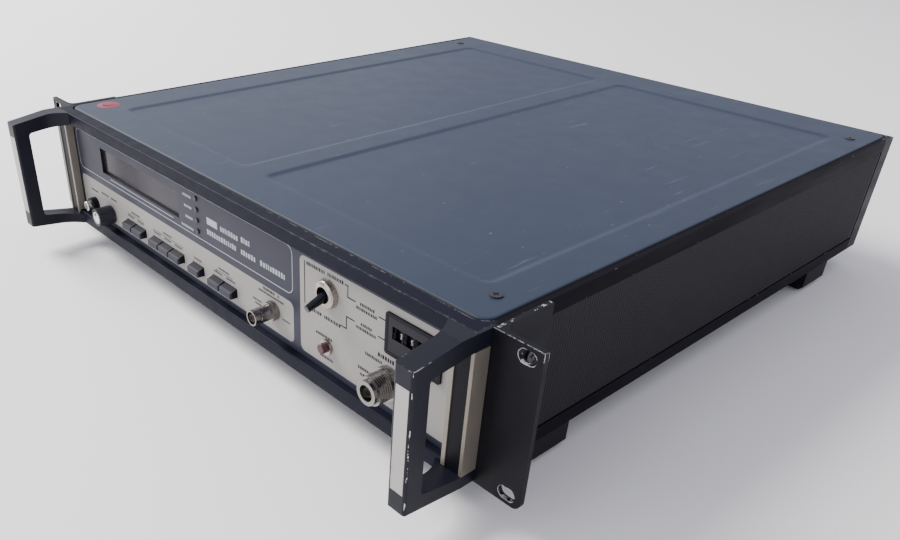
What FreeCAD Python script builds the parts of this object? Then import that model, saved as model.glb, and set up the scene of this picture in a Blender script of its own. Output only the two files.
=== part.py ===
"""Frequency counter: a 2U rack and bench instrument with two bail handles at the front.

Axes: X to the right as seen from the front, Y to the back, Z up, in millimetres.
The origin is the middle of the footprint at the height of the soles of the feet.
Positions in the code start at the body's datum: the middle of the width, the plane of
the rack ears' front faces and the top of the body. place() moves them into the part frame.
"""
import FreeCAD, Part
import math
import os
import re
import Sketcher

os.makedirs("parts", exist_ok=True)
doc = FreeCAD.newDocument("frequency_counter")

# ---------------------------------------------------------------- driving dimensions
SIZES = {
    # cabinet
    "body_width": 425.4, "body_depth": 447.6, "body_height": 86.8,
    "front_width": 421.8, "foot_height": 16.5, "handle_reach": 48.1,
    "frame_front": 9.3, "frame_back": 5.4, "top_rail": 8.4, "bottom_rail": 9.3,
    "post_width": 11.4, "rear_depth": 14.6, "rear_rail": 6.0, "rear_post": 7.0,
    "side_wall": 5.0, "recess_depth": 2.2, "insert_thick": 1.9,
    "recess_top": 9.0, "recess_height": 68.7,
    "ledge_width": 20.0, "ledge_thick": 2.0,
    # covers
    "cover_gap": 0.4, "front_gap": 1.1, "cover_lap": 1.3, "cover_rise": 0.5, "cover_thick": 2.2,
    "cover_front": -0.5, "cover_back": 444.5, "cover_corner": 9.0, "rear_corner": 4.0,
    "cover_roll": 1.8, "emboss_depth": 1.0, "emboss_front": 29.0, "emboss_back": 405.5,
    "left_emboss_x": -175.0, "left_emboss_width": 154.0,
    "right_emboss_x": 2.0, "right_emboss_width": 182.0,
    "screw_inset": 194.5, "front_screw_y": 22.5, "rear_screw_y": 413.0,
    # handles: outline, gap for the fingers, flare at the root
    "handle_outer": 212.9, "handle_width": 11.7, "grip_depth": 10.5,
    "taper_start": 20.0, "front_drop": 4.2, "front_low": 82.7,
    "arm_height": 8.8, "gap_root_low": 80.3, "gap_front_top": 12.1, "gap_front_low": 75.4,
    "grip_corner": 2.5, "flare_radius": 25.6, "flare_width": 7.1, "flare_depth": 17.7,
    # handle inlay and trim
    "inlay_width": 8.3, "inlay_height": 57.7, "inlay_top": 13.9, "inlay_thick": 0.6,
    "inlay_inset": 1.7, "trim_reach": 10.5, "trim_base": 0.7, "trim_lip": 2.5,
    "trim_inner": 199.1, "trim_leg": 0.4, "trim_gap": 0.6,
    # rack ears
    "rack_width": 482.6, "ear_height": 88.1, "ear_thick": 3.0,
    "bracket_length": 39.0, "slot_spacing": 76.2, "slot_centres": 465.1,
    "slot_height": 7.1, "slot_width": 10.3, "top_slot_drop": 5.95, "ear_corner": 5.0,
    "ear_fillet": 5.0, "bracket_screw_y": 26.3, "bracket_screw_z": -23.2,
    "bracket_screw_pitch": 45.4,
    # feet
    "foot_width": 27.0, "foot_length": 34.0, "front_foot_y": 42.5, "rear_foot_y": 365.0,
    "foot_bevel": 4.0,
    # front panel
    "panel_front": 4.5, "panel_thick": 3.0, "panel_gap": 0.3, "panel_seat": 1.0,
    "window_x": -157.9, "window_z": -36.0, "window_width": 108.2, "window_height": 18.4,
    "window_recess": 2.0,
    "led_x": -26.7, "led_top_z": -15.1, "led_pitch": 7.35, "led_radius": 1.6,
    # push buttons
    "button_width": 12.6, "button_height": 5.8, "button_slope": 1.7, "button_reach": 5.2,
    "button_z": -67.8, "button_pitch": 14.0, "button_gap": 0.4,
    # knob and power button
    "knob_x": -151.9, "knob_z": -66.6, "knob_radius": 6.8, "knob_length": 12.6,
    "knob_recess": 4.9, "shaft_radius": 3.15,
    "power_x": -178.3, "power_z": -67.0, "power_radius": 3.6, "power_reach": 8.7,
    "power_collar": 5.0,
    # mode toggle
    "toggle_x": 104.6, "toggle_z": -27.0, "toggle_pivot": 4.0, "toggle_rest": 18.0,
    "bushing_radius": 8.4, "bushing_reach": 3.6, "lever_length": 15.8,
    # signal lamp
    "lamp_x": 104.2, "lamp_z": -60.4, "lamp_radius": 3.0,
    # coaxial inputs
    "n_x": 154.7, "n_z": -57.6, "bnc_x": 53.8, "bnc_z": -59.4,
    # thumbwheel switch bank
    "bank_x": 150.6, "bank_width": 39.2, "bank_z": -40.9, "bank_height": 23.8,
    "wheel_pitch": 7.6, "wheel_radius": 10.2, "wheel_y": 5.6, "axle_radius": 2.0,
    # rear panel
    "rear_panel_thick": 2.0, "socket_row_z": -61.0,
    "fan_x": 118.0, "fan_z": -43.4, "fan_size": 60.0, "fan_depth": 25.0, "fan_bore": 28.0,
    "rotor_hub": 12.0, "rotor_tip": 26.6,
    "inlet_x": -182.0, "inlet_z": -68.8, "inlet_width": 29.0, "inlet_height": 47.0,
}

# places worked out from the driving dimensions
DERIVED = {
    "datum_y": "(handle_reach - body_depth) / 2",
    "datum_z": "(foot_height + body_height)",
    "half_body": "(body_width / 2)",
    "half_front": "(front_width / 2)",
    "inside_x": "(body_width / 2 - side_wall)",
    "rear_frame_y": "(body_depth - rear_depth)",
    "rear_panel_y": "(body_depth - rear_depth - rear_panel_thick)",
    "side_length": "(body_depth - rear_depth - frame_back)",
    "cover_width": "(body_width - 2 * side_wall + 2 * cover_lap)",
    "bottom_length": "(body_depth - rear_depth - frame_back - 2 * cover_gap)",
    "panel_width": "(front_width - 2 * post_width - 2 * panel_gap)",
    "panel_height": "(body_height - top_rail - bottom_rail - 2 * panel_gap)",
    "panel_x": "(-(front_width - 2 * post_width - 2 * panel_gap) / 2)",
    "panel_z": "(-(body_height - bottom_rail - panel_gap))",
    "panel_back": "(panel_thick - panel_front)",
}
FEET = {
    "front_left_foot": (-1, "front_foot_y"), "front_right_foot": (1, "front_foot_y"),
    "rear_left_foot": (-1, "rear_foot_y"), "rear_right_foot": (1, "rear_foot_y"),
}
# Y of the datum and of the handles' fronts in the part frame
DATUM_Y = (SIZES["handle_reach"] - SIZES["body_depth"]) / 2
HANDLE_FRONT = DATUM_Y - SIZES["handle_reach"]
WORD = re.compile(r"[a-z][a-z_0-9]*")

sheet = doc.addObject("Spreadsheet::Sheet", "Size")
for row, (alias, size) in enumerate(SIZES.items(), start=1):
    sheet.set(f"A{row}", alias)
    sheet.set(f"B{row}", str(size))
    sheet.setAlias(f"B{row}", alias)
doc.recompute()


def formula(text):
    """Spell a size text out as an expression on the spreadsheet's cells."""
    def cell(match):
        word = match.group(0)
        if word in DERIVED:
            return formula(DERIVED[word])
        return f"Size.{word}" if word in SIZES else word
    return WORD.sub(cell, str(text))


def bind(item, prop, text):
    item.setExpression(prop, formula(text))


def place(item, x, y, z):
    """Put an object at a point given from the body's datum."""
    bind(item, "Placement.Base.x", x)
    bind(item, "Placement.Base.y", f"datum_y + ({y})")
    bind(item, "Placement.Base.z", f"datum_z + ({z})")


# ---------------------------------------------------------------- primitives and booleans
made = 0


def fresh(kind):
    """Add an unnamed working object."""
    global made
    made += 1
    return doc.addObject(kind, f"piece_{made}")


def box(x, y, z, width, depth, height):
    """A block from its left, front, bottom corner."""
    item = fresh("Part::Box")
    bind(item, "Length", width)
    bind(item, "Width", depth)
    bind(item, "Height", height)
    place(item, x, y, z)
    return item


AXIS_TURN = {
    "x": FreeCAD.Rotation(FreeCAD.Vector(0, 1, 0), 90),
    "y": FreeCAD.Rotation(FreeCAD.Vector(1, 0, 0), -90),
    "z": FreeCAD.Rotation(),
}


def rod(axis, x, y, z, radius, length):
    """A cylinder that runs from a point along +axis."""
    item = fresh("Part::Cylinder")
    bind(item, "Radius", radius)
    bind(item, "Height", length)
    item.Placement.Rotation = AXIS_TURN[axis]
    place(item, x, y, z)
    return item


def taper(axis, x, y, z, first_radius, last_radius, length):
    """A cone that runs from a point along +axis."""
    item = fresh("Part::Cone")
    bind(item, "Radius1", first_radius)
    bind(item, "Radius2", last_radius)
    bind(item, "Height", length)
    item.Placement.Rotation = AXIS_TURN[axis]
    place(item, x, y, z)
    return item


def fuse(*shapes):
    """Join shapes into one; a single shape passes through."""
    if len(shapes) == 1:
        return shapes[0]
    item = fresh("Part::MultiFuse")
    item.Shapes = list(shapes)
    return item


def cut(base, *tools):
    """Take the tools away from the base."""
    item = fresh("Part::Cut")
    item.Base = base
    item.Tool = fuse(*tools)
    return item


def group(*shapes):
    """Separate solids that share a node."""
    item = fresh("Part::Compound")
    item.Links = list(shapes)
    return item


def edges_where(shape, test):
    """Numbers of the edges whose middle point and direction pass the test."""
    found = []
    for number, edge in enumerate(shape.Edges, start=1):
        if edge.Length < 1e-6 or not isinstance(edge.Curve, (Part.Line, Part.Circle)):
            continue
        middle = edge.valueAt((edge.FirstParameter + edge.LastParameter) / 2)
        along = edge.tangentAt((edge.FirstParameter + edge.LastParameter) / 2)
        if test(middle, along, edge):
            found.append(number)
    return found


def round_edges(base, radius, test, kind="Part::Fillet"):
    """Round (or with Part::Chamfer bevel) the edges that pass the test."""
    doc.recompute()
    item = fresh(kind)
    item.Base = base
    item.Edges = [(number, radius, radius) for number in edges_where(base.Shape, test)]
    return item


def runs_along(axis):
    """A test for straight edges parallel to an axis."""
    unit = {"x": FreeCAD.Vector(1, 0, 0), "y": FreeCAD.Vector(0, 1, 0), "z": FreeCAD.Vector(0, 0, 1)}[axis]

    def test(middle, along, edge):
        return isinstance(edge.Curve, Part.Line) and abs(along.dot(unit)) > 0.999
    return test


# ---------------------------------------------------------------- sketched bodies
def origin_plane(body, role):
    for feature in body.Origin.OriginFeatures:
        if feature.Role == role:
            return feature
    raise ValueError(role)


def new_body(x, y, z):
    """A body whose own origin is at a point given from the datum."""
    global made
    made += 1
    body = doc.addObject("PartDesign::Body", f"body_{made}")
    place(body, x, y, z)
    return body


def new_sketch(body, role, name):
    sketch = body.newObject("Sketcher::SketchObject", name)
    sketch.AttachmentSupport = [(origin_plane(body, role), "")]
    sketch.MapMode = "FlatFace"
    return sketch


def constrain(sketch, name, text, *what):
    """Add a dimension that follows the spreadsheet."""
    number = sketch.addConstraint(Sketcher.Constraint(*what, 1.0))
    sketch.renameConstraint(number, name)
    bind(sketch, f"Constraints.{name}", text)


def locate(sketch, name, x, y, *point):
    """Dimension a point from the sketch's origin; a zero puts it on the axis."""
    for label, text, kind, axis in (("x", x, "DistanceX", -2), ("y", y, "DistanceY", -1)):
        if str(text) == "0":
            sketch.addConstraint(Sketcher.Constraint("PointOnObject", *point, axis))
        else:
            constrain(sketch, f"{name}_{label}", text, kind, -1, 1, *point)


def add_rectangle(sketch, name, left, low, width, height):
    """A rectangle dimensioned from the sketch's origin."""
    first = sketch.GeometryCount
    corners = [FreeCAD.Vector(x, y, 0) for x, y in ((1, 1), (2, 1), (2, 2), (1, 2))]
    for number in range(4):
        sketch.addGeometry(Part.LineSegment(corners[number], corners[(number + 1) % 4]))
    for number in range(4):
        joint = (first + number, 2, first + (number + 1) % 4, 1)
        sketch.addConstraint(Sketcher.Constraint("Coincident", *joint))
    for number in (0, 2):
        sketch.addConstraint(Sketcher.Constraint("Horizontal", first + number))
        sketch.addConstraint(Sketcher.Constraint("Vertical", first + number + 1))
    constrain(sketch, f"{name}_width", width, "DistanceX", first, 1, first, 2)
    constrain(sketch, f"{name}_height", height, "DistanceY", first + 1, 1, first + 1, 2)
    locate(sketch, name, left, low, first, 1)


def add_circle(sketch, name, x, y, radius):
    """A circle dimensioned from the sketch's origin."""
    number = sketch.addGeometry(Part.Circle(FreeCAD.Vector(5, 5, 0), FreeCAD.Vector(0, 0, 1), 2))
    locate(sketch, name, x, y, number, 3)
    constrain(sketch, f"{name}_radius", radius, "Radius", number)


def add_polygon(sketch, name, points):
    """A closed outline with every corner dimensioned from the sketch's origin."""
    first = sketch.GeometryCount
    count = len(points)
    ring = []
    for number in range(count):
        turn = 2 * math.pi * number / count
        ring.append(FreeCAD.Vector(30 + 20 * math.cos(turn), 30 + 20 * math.sin(turn), 0))
    for number in range(count):
        sketch.addGeometry(Part.LineSegment(ring[number], ring[(number + 1) % count]))
    for number in range(count):
        joint = (first + number, 2, first + (number + 1) % count, 1)
        sketch.addConstraint(Sketcher.Constraint("Coincident", *joint))
    for number, (x, y) in enumerate(points):
        locate(sketch, f"{name}_{number}", x, y, first + number, 1)


def pad(body, sketch, length, reverse=False):
    feature = body.newObject("PartDesign::Pad", f"{sketch.Name}_pad")
    feature.Profile = sketch
    feature.Reversed = reverse
    bind(feature, "Length", length)
    sketch.Visibility = False
    doc.recompute()
    return feature


def pocket(body, sketch, depth=None, reverse=False):
    """Cut the sketch into the body, right through where no depth is given."""
    before = body.Shape.Volume
    feature = body.newObject("PartDesign::Pocket", f"{sketch.Name}_pocket")
    feature.Profile = sketch
    feature.Reversed = reverse
    if depth is None:
        feature.Type = "ThroughAll"
    else:
        bind(feature, "Length", depth)
    doc.recompute()
    if body.Shape.Volume > before - 1e-3:
        raise RuntimeError(f"{feature.Name} cuts nothing")
    return feature


def dress(body, kind, radius, test):
    """Fillet or chamfer the body's edges that pass the test."""
    base = body.Tip
    chosen = edges_where(base.Shape, test)
    feature = body.newObject(f"PartDesign::{kind}", f"{body.Name}_{kind.lower()}")
    feature.Base = (base, [f"Edge{number}" for number in chosen])
    if kind == "Fillet":
        bind(feature, "Radius", radius)
    else:
        bind(feature, "Size", radius)
    doc.recompute()
    return feature


nodes = {}


def node(name, item):
    """Give a finished sub-part its name."""
    item.Label = name
    nodes[name] = item
    return item


# ---------------------------------------------------------------- cabinet frames
def mirrored(side, start, width):
    """Left edge of a block that starts at a distance from the middle, on one side or the other."""
    return f"{start}" if side > 0 else f"-({start}) - ({width})"


def cover_clearance():
    """Space kept for the top cover: its outline and a gap round it, open at the top."""
    blank = box("-cover_width / 2 - cover_gap", "cover_front - front_gap", "cover_rise - cover_thick - 0.3",
                "cover_width + 2 * cover_gap", "cover_back - cover_front + front_gap + cover_gap", "6")
    front = round_edges(blank, SIZES["cover_corner"] + SIZES["cover_gap"],
                        lambda middle, along, edge: abs(along.z) > 0.999 and middle.y < 0)
    return round_edges(front, SIZES["rear_corner"] + SIZES["cover_gap"],
                       lambda middle, along, edge: abs(along.z) > 0.999 and middle.y > 0)


def make_front_frame():
    """Cast ring round the front panel, with a seat for the front of the top cover."""
    body = new_body("-half_front", "-frame_front", "-body_height")
    outline = new_sketch(body, "XZ_Plane", "front_frame_outline")
    add_rectangle(outline, "ring", 0, 0, "front_width", "body_height")
    pad(body, outline, "frame_front + frame_back", reverse=True)
    opening = new_sketch(body, "XZ_Plane", "front_frame_opening")
    add_rectangle(opening, "opening", "post_width", "bottom_rail",
                  "front_width - 2 * post_width", "body_height - top_rail - bottom_rail")
    pocket(body, opening, "frame_front - panel_front + panel_thick")
    window = new_sketch(body, "XZ_Plane", "front_frame_window")
    add_rectangle(window, "window", "post_width + panel_seat", "bottom_rail + panel_seat",
                  "front_width - 2 * post_width - 2 * panel_seat",
                  "body_height - top_rail - bottom_rail - 2 * panel_seat")
    pocket(body, window)
    dress(body, "Fillet", "0.8", lambda middle, along, edge: edge.Length > 300 and middle.y < 0.1)
    node("front_frame", cut(body, cover_clearance()))


def make_rear_frame():
    """Cast ring round the recessed rear panel, with a seat for the back of the top cover."""
    body = new_body("-half_body", "rear_frame_y", "-body_height")
    outline = new_sketch(body, "XZ_Plane", "rear_frame_outline")
    add_rectangle(outline, "ring", 0, 0, "body_width", "body_height")
    pad(body, outline, "rear_depth", reverse=True)
    opening = new_sketch(body, "XZ_Plane", "rear_frame_opening")
    add_rectangle(opening, "opening", "rear_post", "rear_rail",
                  "body_width - 2 * rear_post", "body_height - 2 * rear_rail")
    pocket(body, opening)
    dress(body, "Fillet", "1.0", lambda middle, along, edge: edge.Length > 60 and middle.y > 14)
    node("rear_frame", cut(body, cover_clearance()))


def make_side_frame(name, side):
    """Side extrusion: an outer recess for the insert, and ledges under both covers."""
    wall = box(mirrored(side, "inside_x", "side_wall"), "frame_back", "-body_height",
               "side_wall", "side_length", "body_height")
    nose = box(mirrored(side, "half_front", "half_body - half_front"), "ear_thick", "-body_height",
               "half_body - half_front", "frame_back - ear_thick + 0.5", "body_height")
    recess = box(mirrored(side, "half_body - recess_depth", "recess_depth + 1"), "frame_back + 0.8",
                 "-recess_top - recess_height", "recess_depth + 1", "side_length - 1.6", "recess_height")
    step_width = "1 + cover_lap + cover_gap"
    bottom_step = box(mirrored(side, "inside_x - 1", step_width), "frame_back - 1", "-body_height - 1.5",
                      step_width, "side_length + 2", "cover_thick + 1.8")
    ledge_left = mirrored(side, "inside_x - ledge_width", "ledge_width + 0.5")
    ledge_length = "side_length - rear_panel_thick - 0.1"
    top_ledge = box(ledge_left, "frame_back", "cover_rise - cover_thick - 0.3 - ledge_thick",
                    "ledge_width + 0.5", ledge_length, "ledge_thick")
    bottom_ledge = box(ledge_left, "frame_back", "-body_height + cover_thick + 0.3",
                       "ledge_width + 0.5", ledge_length, "ledge_thick")
    holes = []
    for z in bracket_screw_heights():
        holes.append(rod("x", mirrored(side, "inside_x - 1", "7"), "bracket_screw_y", z, "2.0", "7"))
    for y in ("front_screw_y", "rear_screw_y"):
        holes.append(rod("z", f"{side} * screw_inset", y, "-body_height", "1.95", "body_height"))
    for foot_side, y in FEET.values():
        if foot_side == side:
            holes.append(rod("z", f"{side} * (half_body - foot_width / 2)", f"{y} + foot_length / 2",
                             "-body_height", "2.0", "12"))
    frame = fuse(wall, nose, top_ledge, bottom_ledge)
    node(name, cut(frame, recess, cover_clearance(), bottom_step, *holes))


def bracket_screw_heights():
    return [f"bracket_screw_z - {step} * bracket_screw_pitch" for step in (0, 1)]


def make_side_insert(name, side):
    """Ribbed vinyl-clad strip in the recess of a side frame."""
    left = "half_body - recess_depth" if side > 0 else "-half_body + recess_depth - insert_thick"
    body = new_body(left, "frame_back + 1.2", "-recess_top - recess_height + 0.4")
    profile = new_sketch(body, "XZ_Plane", f"{name}_profile")
    add_rectangle(profile, "strip", 0, 0, "insert_thick", "recess_height - 0.8")
    pad(body, profile, "side_length - 2.4", reverse=True)
    holes = new_sketch(body, "YZ_Plane", f"{name}_holes")
    for number, z in enumerate(bracket_screw_heights()):
        add_circle(holes, f"hole_{number}", "bracket_screw_y - frame_back - 1.2",
                   f"{z} + recess_top + recess_height - 0.4", "2.0")
    pocket(body, holes, reverse=True)
    node(name, body)


# ---------------------------------------------------------------- covers
def make_top_cover():
    """Sheet cover with two embossed fields, rounded corners and rolled edges."""
    body = new_body("-cover_width / 2", "cover_front", "cover_rise - cover_thick")
    sheet_outline = new_sketch(body, "XY_Plane", "top_cover_outline")
    add_rectangle(sheet_outline, "sheet", 0, 0, "cover_width", "cover_back - cover_front")
    pad(body, sheet_outline, "cover_thick")
    fields = new_sketch(body, "XY_Plane", "top_cover_fields")
    bind(fields, "AttachmentOffset.Base.z", "cover_thick")
    field_front = "emboss_front - cover_front"
    field_length = "emboss_back - emboss_front"
    add_rectangle(fields, "left_field", "left_emboss_x + cover_width / 2", field_front,
                  "left_emboss_width", field_length)
    add_rectangle(fields, "right_field", "right_emboss_x + cover_width / 2", field_front,
                  "right_emboss_width", field_length)
    pocket(body, fields, "emboss_depth")
    screw_holes = new_sketch(body, "XY_Plane", "top_cover_screw_holes")
    for number, (x, y) in enumerate(cover_screw_places()):
        add_circle(screw_holes, f"hole_{number}", f"cover_width / 2 + ({x})", f"{y} - cover_front", "2.0")
    pocket(body, screw_holes, reverse=True)
    sheet_box = body.Shape.BoundBox
    middle_y = SIZES["body_depth"] / 2

    def corner(middle, along, edge):
        return abs(along.z) > 0.99 and edge.Length > 2 and isinstance(edge.Curve, Part.Line)
    dress(body, "Fillet", "cover_corner", lambda middle, along, edge:
          corner(middle, along, edge) and middle.y < 1)
    dress(body, "Fillet", "rear_corner", lambda middle, along, edge:
          corner(middle, along, edge) and middle.y > middle_y)
    dress(body, "Fillet", "cover_roll", lambda middle, along, edge:
          edge.Length > 300 and middle.z > SIZES["cover_thick"] - 0.01 and
          min(middle.x, sheet_box.XLength - middle.x, middle.y, sheet_box.YLength - middle.y) < 0.1)
    node("top_cover", body)


def cover_screw_places():
    return [(f"{sign} * screw_inset", y) for y in ("front_screw_y", "rear_screw_y") for sign in (-1, 1)]


def make_bottom_cover():
    """Flat sheet cover with ventilation slots under the power supply and screw holes."""
    plate = box("-cover_width / 2", "frame_back + cover_gap", "-body_height",
                "cover_width", "bottom_length", "cover_thick")
    rounded = round_edges(plate, SIZES["cover_corner"], runs_along("z"))
    slots = []
    for row in range(2):
        for column in range(9):
            slots.append(box(f"-150 + {column} * 9", f"250 + {row} * 50", "-body_height - 1",
                             "3.2", "38", "cover_thick + 2"))
    holes = [rod("z", x, y, "-body_height - 1", "2.0", "cover_thick + 2") for x, y in cover_screw_places()]
    for side, y in FEET.values():
        holes.append(rod("z", f"{side} * (half_body - foot_width / 2)", f"{y} + foot_length / 2",
                         "-body_height - 1", "2.0", "cover_thick + 2"))
    node("bottom_cover", cut(rounded, *slots, *holes))


def pan_screw(axis_point, face, head_radius, head_height, shank_radius, shank_length):
    """Cross-recess pan head screw: face is '+x', '-x', '+z' or '-z', where the head looks."""
    x, y, z = axis_point
    axis = face[1]
    sign = 1 if face[0] == "+" else -1
    index = "xyz".index(axis)

    def moved(offset):
        point = [x, y, z]
        point[index] = f"({point[index]}) + ({offset})"
        return point
    start = "0" if sign > 0 else f"-({head_height})"
    shank_start = f"-({shank_length})" if sign > 0 else "0"
    head = rod(axis, *moved(start), head_radius, head_height)
    shank = rod(axis, *moved(shank_start), shank_radius, shank_length)
    recess_start = f"{head_height} - 0.5" if sign > 0 else f"-({head_height}) - 0.5"
    bars = []
    across = [name for name in "xyz" if name != axis]
    for long_way in across:
        size = {axis: "1.0", long_way: f"1.1 * {head_radius}"}
        size.setdefault(across[0], "0.7")
        size.setdefault(across[1], "0.7")
        corner = moved(recess_start)
        for name in across:
            corner["xyz".index(name)] = f"({corner['xyz'.index(name)]}) - ({size[name]}) / 2"
        bars.append(box(*corner, size["x"], size["y"], size["z"]))
    return cut(fuse(head, shank), *bars)


def make_case_screws():
    """Eight cover screws and four rack bracket screws, all one size."""
    screws = []
    for x, y in cover_screw_places():
        screws.append(pan_screw((x, y, "cover_rise"), "+z", "3.4", "0.7", "1.8", "4.4"))
        screws.append(pan_screw((x, y, "-body_height"), "-z", "3.4", "1.1", "1.8", "4.4"))
    for side in (-1, 1):
        face = "+x" if side > 0 else "-x"
        for z in bracket_screw_heights():
            point = (f"{side} * (half_body + ear_thick)", "bracket_screw_y", z)
            screws.append(pan_screw(point, face, "3.4", "1.1", "1.8", "7.0"))
    node("case_screws", group(*screws))


# ---------------------------------------------------------------- handles and rack ears
def make_handle(name, side):
    """Bail handle: arms that taper to a deep front bar and flare inwards into the frame."""
    inner = "(handle_outer - handle_width)"
    thickness = "handle_width + flare_width"
    root = "handle_reach - frame_front"
    body = new_body(mirrored(side, f"{inner} - flare_width", thickness), "-handle_reach", "-body_height")
    outline = new_sketch(body, "YZ_Plane", f"{name}_outline")
    add_polygon(outline, "edge", [
        (root, 0), (0, "body_height - front_low"), (0, "body_height - front_drop"),
        ("handle_reach - taper_start", "body_height"), (root, "body_height")])
    pad(body, outline, thickness)
    gap = new_sketch(body, "YZ_Plane", f"{name}_gap")
    add_polygon(gap, "gap", [
        ("grip_depth", "body_height - gap_front_low"), (f"{root} + 1", "body_height - gap_root_low"),
        (f"{root} + 1", "body_height - arm_height"), ("grip_depth", "body_height - gap_front_top")])
    pocket(body, gap, reverse=True)
    dress(body, "Fillet", "grip_corner", lambda middle, along, edge:
          abs(along.x) > 0.999 and abs(middle.y - SIZES["grip_depth"]) < 0.1)
    clear = box(mirrored(side, f"{inner} - flare_radius", "flare_radius"), "-handle_reach - 1",
                "-body_height - 1", "flare_radius", f"{root} + 1 - flare_depth", "body_height + 2")
    flare = rod("z", f"{side} * ({inner} - flare_radius)", "-frame_front - flare_depth",
                "-body_height - 1", "flare_radius", "body_height + 2")
    bar = round_edges(cut(body, clear, flare), 1.6, lambda middle, along, edge:
                      abs(along.z) > 0.999 and middle.y < HANDLE_FRONT + 0.1)
    groove = box(mirrored(side, "handle_outer - inlay_inset - inlay_width", "inlay_width"),
                 "-handle_reach - 1", "-inlay_top - inlay_height",
                 "inlay_width", "1 + inlay_thick", "inlay_height")
    cheek = "handle_outer - half_front"
    top_cheek = box(mirrored(side, "half_front", cheek), "-frame_front - 1", "-arm_height",
                    cheek, "frame_front + 1", "arm_height")
    low_cheek = box(mirrored(side, "half_front", cheek), "-frame_front - 1", "-body_height",
                    cheek, "frame_front + 1", "body_height - gap_root_low")
    node(name, fuse(cut(bar, groove), top_cheek, low_cheek))


def make_inlay(name, side):
    """Metal strip let into the front of a handle."""
    left = mirrored(side, "handle_outer - inlay_inset - inlay_width + 0.1", "inlay_width - 0.2")
    body = new_body(left, "-handle_reach", "-inlay_top - inlay_height + 0.1")
    face = new_sketch(body, "XZ_Plane", f"{name}_face")
    add_rectangle(face, "strip", 0, 0, "inlay_width - 0.2", "inlay_height - 0.2")
    pad(body, face, "inlay_thick", reverse=True)
    node(name, body)


def make_trim(name, side):
    """Extruded trim between the handle roots: outer fin, base, and a lip that turns into the opening."""
    low = "-gap_root_low + trim_gap"
    tall = "gap_root_low - arm_height - 2 * trim_gap"
    base = box(mirrored(side, "trim_inner", "handle_outer - trim_inner"), "-frame_front - trim_base", low,
               "handle_outer - trim_inner", "trim_base", tall)
    fin = box(mirrored(side, "half_front", "handle_outer - half_front"), "-trim_reach", low,
              "handle_outer - half_front", "trim_reach - 0.3", tall)
    lip = box(mirrored(side, "trim_inner", "trim_lip"), "-trim_reach", low,
              "trim_lip", "trim_reach - frame_front", tall)
    leg = box(mirrored(side, "trim_inner", "trim_leg"), "-trim_reach", "-body_height + bottom_rail + 0.2",
              "trim_leg", "trim_reach - panel_front - 0.4",
              "body_height - bottom_rail - arm_height - trim_gap - 0.2")
    node(name, fuse(base, fin, lip, leg))


def make_rack_ear(name, side):
    """Angle bracket: the slotted rack ear and the leg that is screwed to the side frame."""
    low = "-ear_height"
    ear_width = "rack_width / 2 - half_front"
    ear = box(mirrored(side, "half_front", ear_width), "0", low, ear_width, "ear_thick", "ear_height")
    middle_z = SIZES["foot_height"] + SIZES["body_height"] / 2
    plate = round_edges(ear, SIZES["ear_corner"], lambda middle, along, edge:
                        abs(along.y) > 0.999 and middle.z < middle_z and
                        side * middle.x > SIZES["rack_width"] / 2 - 1)
    leg = box(mirrored(side, "half_body", "ear_thick"), "0", low,
              "ear_thick", "bracket_length", "ear_height")
    gusset = box(mirrored(side, "half_body + ear_thick - 0.5", "ear_fillet + 0.5"), "ear_thick - 0.5", low,
                 "ear_fillet + 0.5", "ear_fillet + 0.5", "ear_height")
    hollow = rod("z", f"{side} * (half_body + ear_thick + ear_fillet)", "ear_thick + ear_fillet",
                 f"{low} - 1", "ear_fillet", "ear_height + 2")
    holes = []
    reach = "(slot_width - slot_height) / 2"
    middle_x = f"{side} * slot_centres / 2"
    for step in (0, 1):
        z = f"-top_slot_drop - {step} * slot_spacing"
        holes.append(box(f"{middle_x} - {reach}", "-1", f"{z} - slot_height / 2",
                         f"2 * {reach}", "ear_thick + 2", "slot_height"))
        for end in (-1, 1):
            holes.append(rod("y", f"{middle_x} + {end} * {reach}", "-1", z, "slot_height / 2",
                             "ear_thick + 2"))
    for z in bracket_screw_heights():
        holes.append(rod("x", mirrored(side, "half_body - 0.5", "4"), "bracket_screw_y", z, "2.0", "4"))
    node(name, cut(fuse(plate, leg, cut(gusset, hollow)), *holes))


# ---------------------------------------------------------------- feet
def make_foot(name, side, y):
    """Moulded foot: bevelled block with a screw well in its sole."""
    left = "half_body - foot_width" if side > 0 else "-half_body"
    body = new_body(left, y, "-body_height - foot_height")
    sole = new_sketch(body, "XY_Plane", f"{name}_sole")
    add_rectangle(sole, "block", 0, 0, "foot_width", "foot_length")
    pad(body, sole, "foot_height")
    well = new_sketch(body, "XY_Plane", f"{name}_well")
    add_circle(well, "well", "foot_width / 2", "foot_length / 2", "5.0")
    pocket(body, well, "foot_height - 4", reverse=True)
    bore = new_sketch(body, "XY_Plane", f"{name}_bore")
    add_circle(bore, "bore", "foot_width / 2", "foot_length / 2", "2.2")
    pocket(body, bore, reverse=True)
    dress(body, "Chamfer", "foot_bevel", lambda middle, along, edge: isinstance(edge.Curve, Part.Line) and
          middle.z < 0.1 and abs(along.z) < 0.1)
    node(name, body)


def make_foot_screws():
    screws = []
    for side, y in FEET.values():
        point = (f"{side} * (half_body - foot_width / 2)", f"{y} + foot_length / 2", "-body_height - 4")
        screws.append(pan_screw(point, "-z", "3.9", "2.0", "1.9", "9.0"))
    node("foot_screws", group(*screws))


# ---------------------------------------------------------------- front panel
BUTTON_GROUPS = {"range": (-113.6, 2), "function": (-68.7, 3), "reset": (-30.1, 1), "band": (1.1, 2)}


def button_places():
    """Left edge of each push button, group by group."""
    places = []
    for middle, count in BUTTON_GROUPS.values():
        for number in range(count):
            places.append(f"{middle} + ({number} - {count} / 2) * button_pitch"
                          " + (button_pitch - button_width) / 2")
    return places


def panel_local(x, z):
    """A datum place in the front panel's own sketch."""
    return f"({x}) - panel_x", f"({z}) - panel_z"


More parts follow.
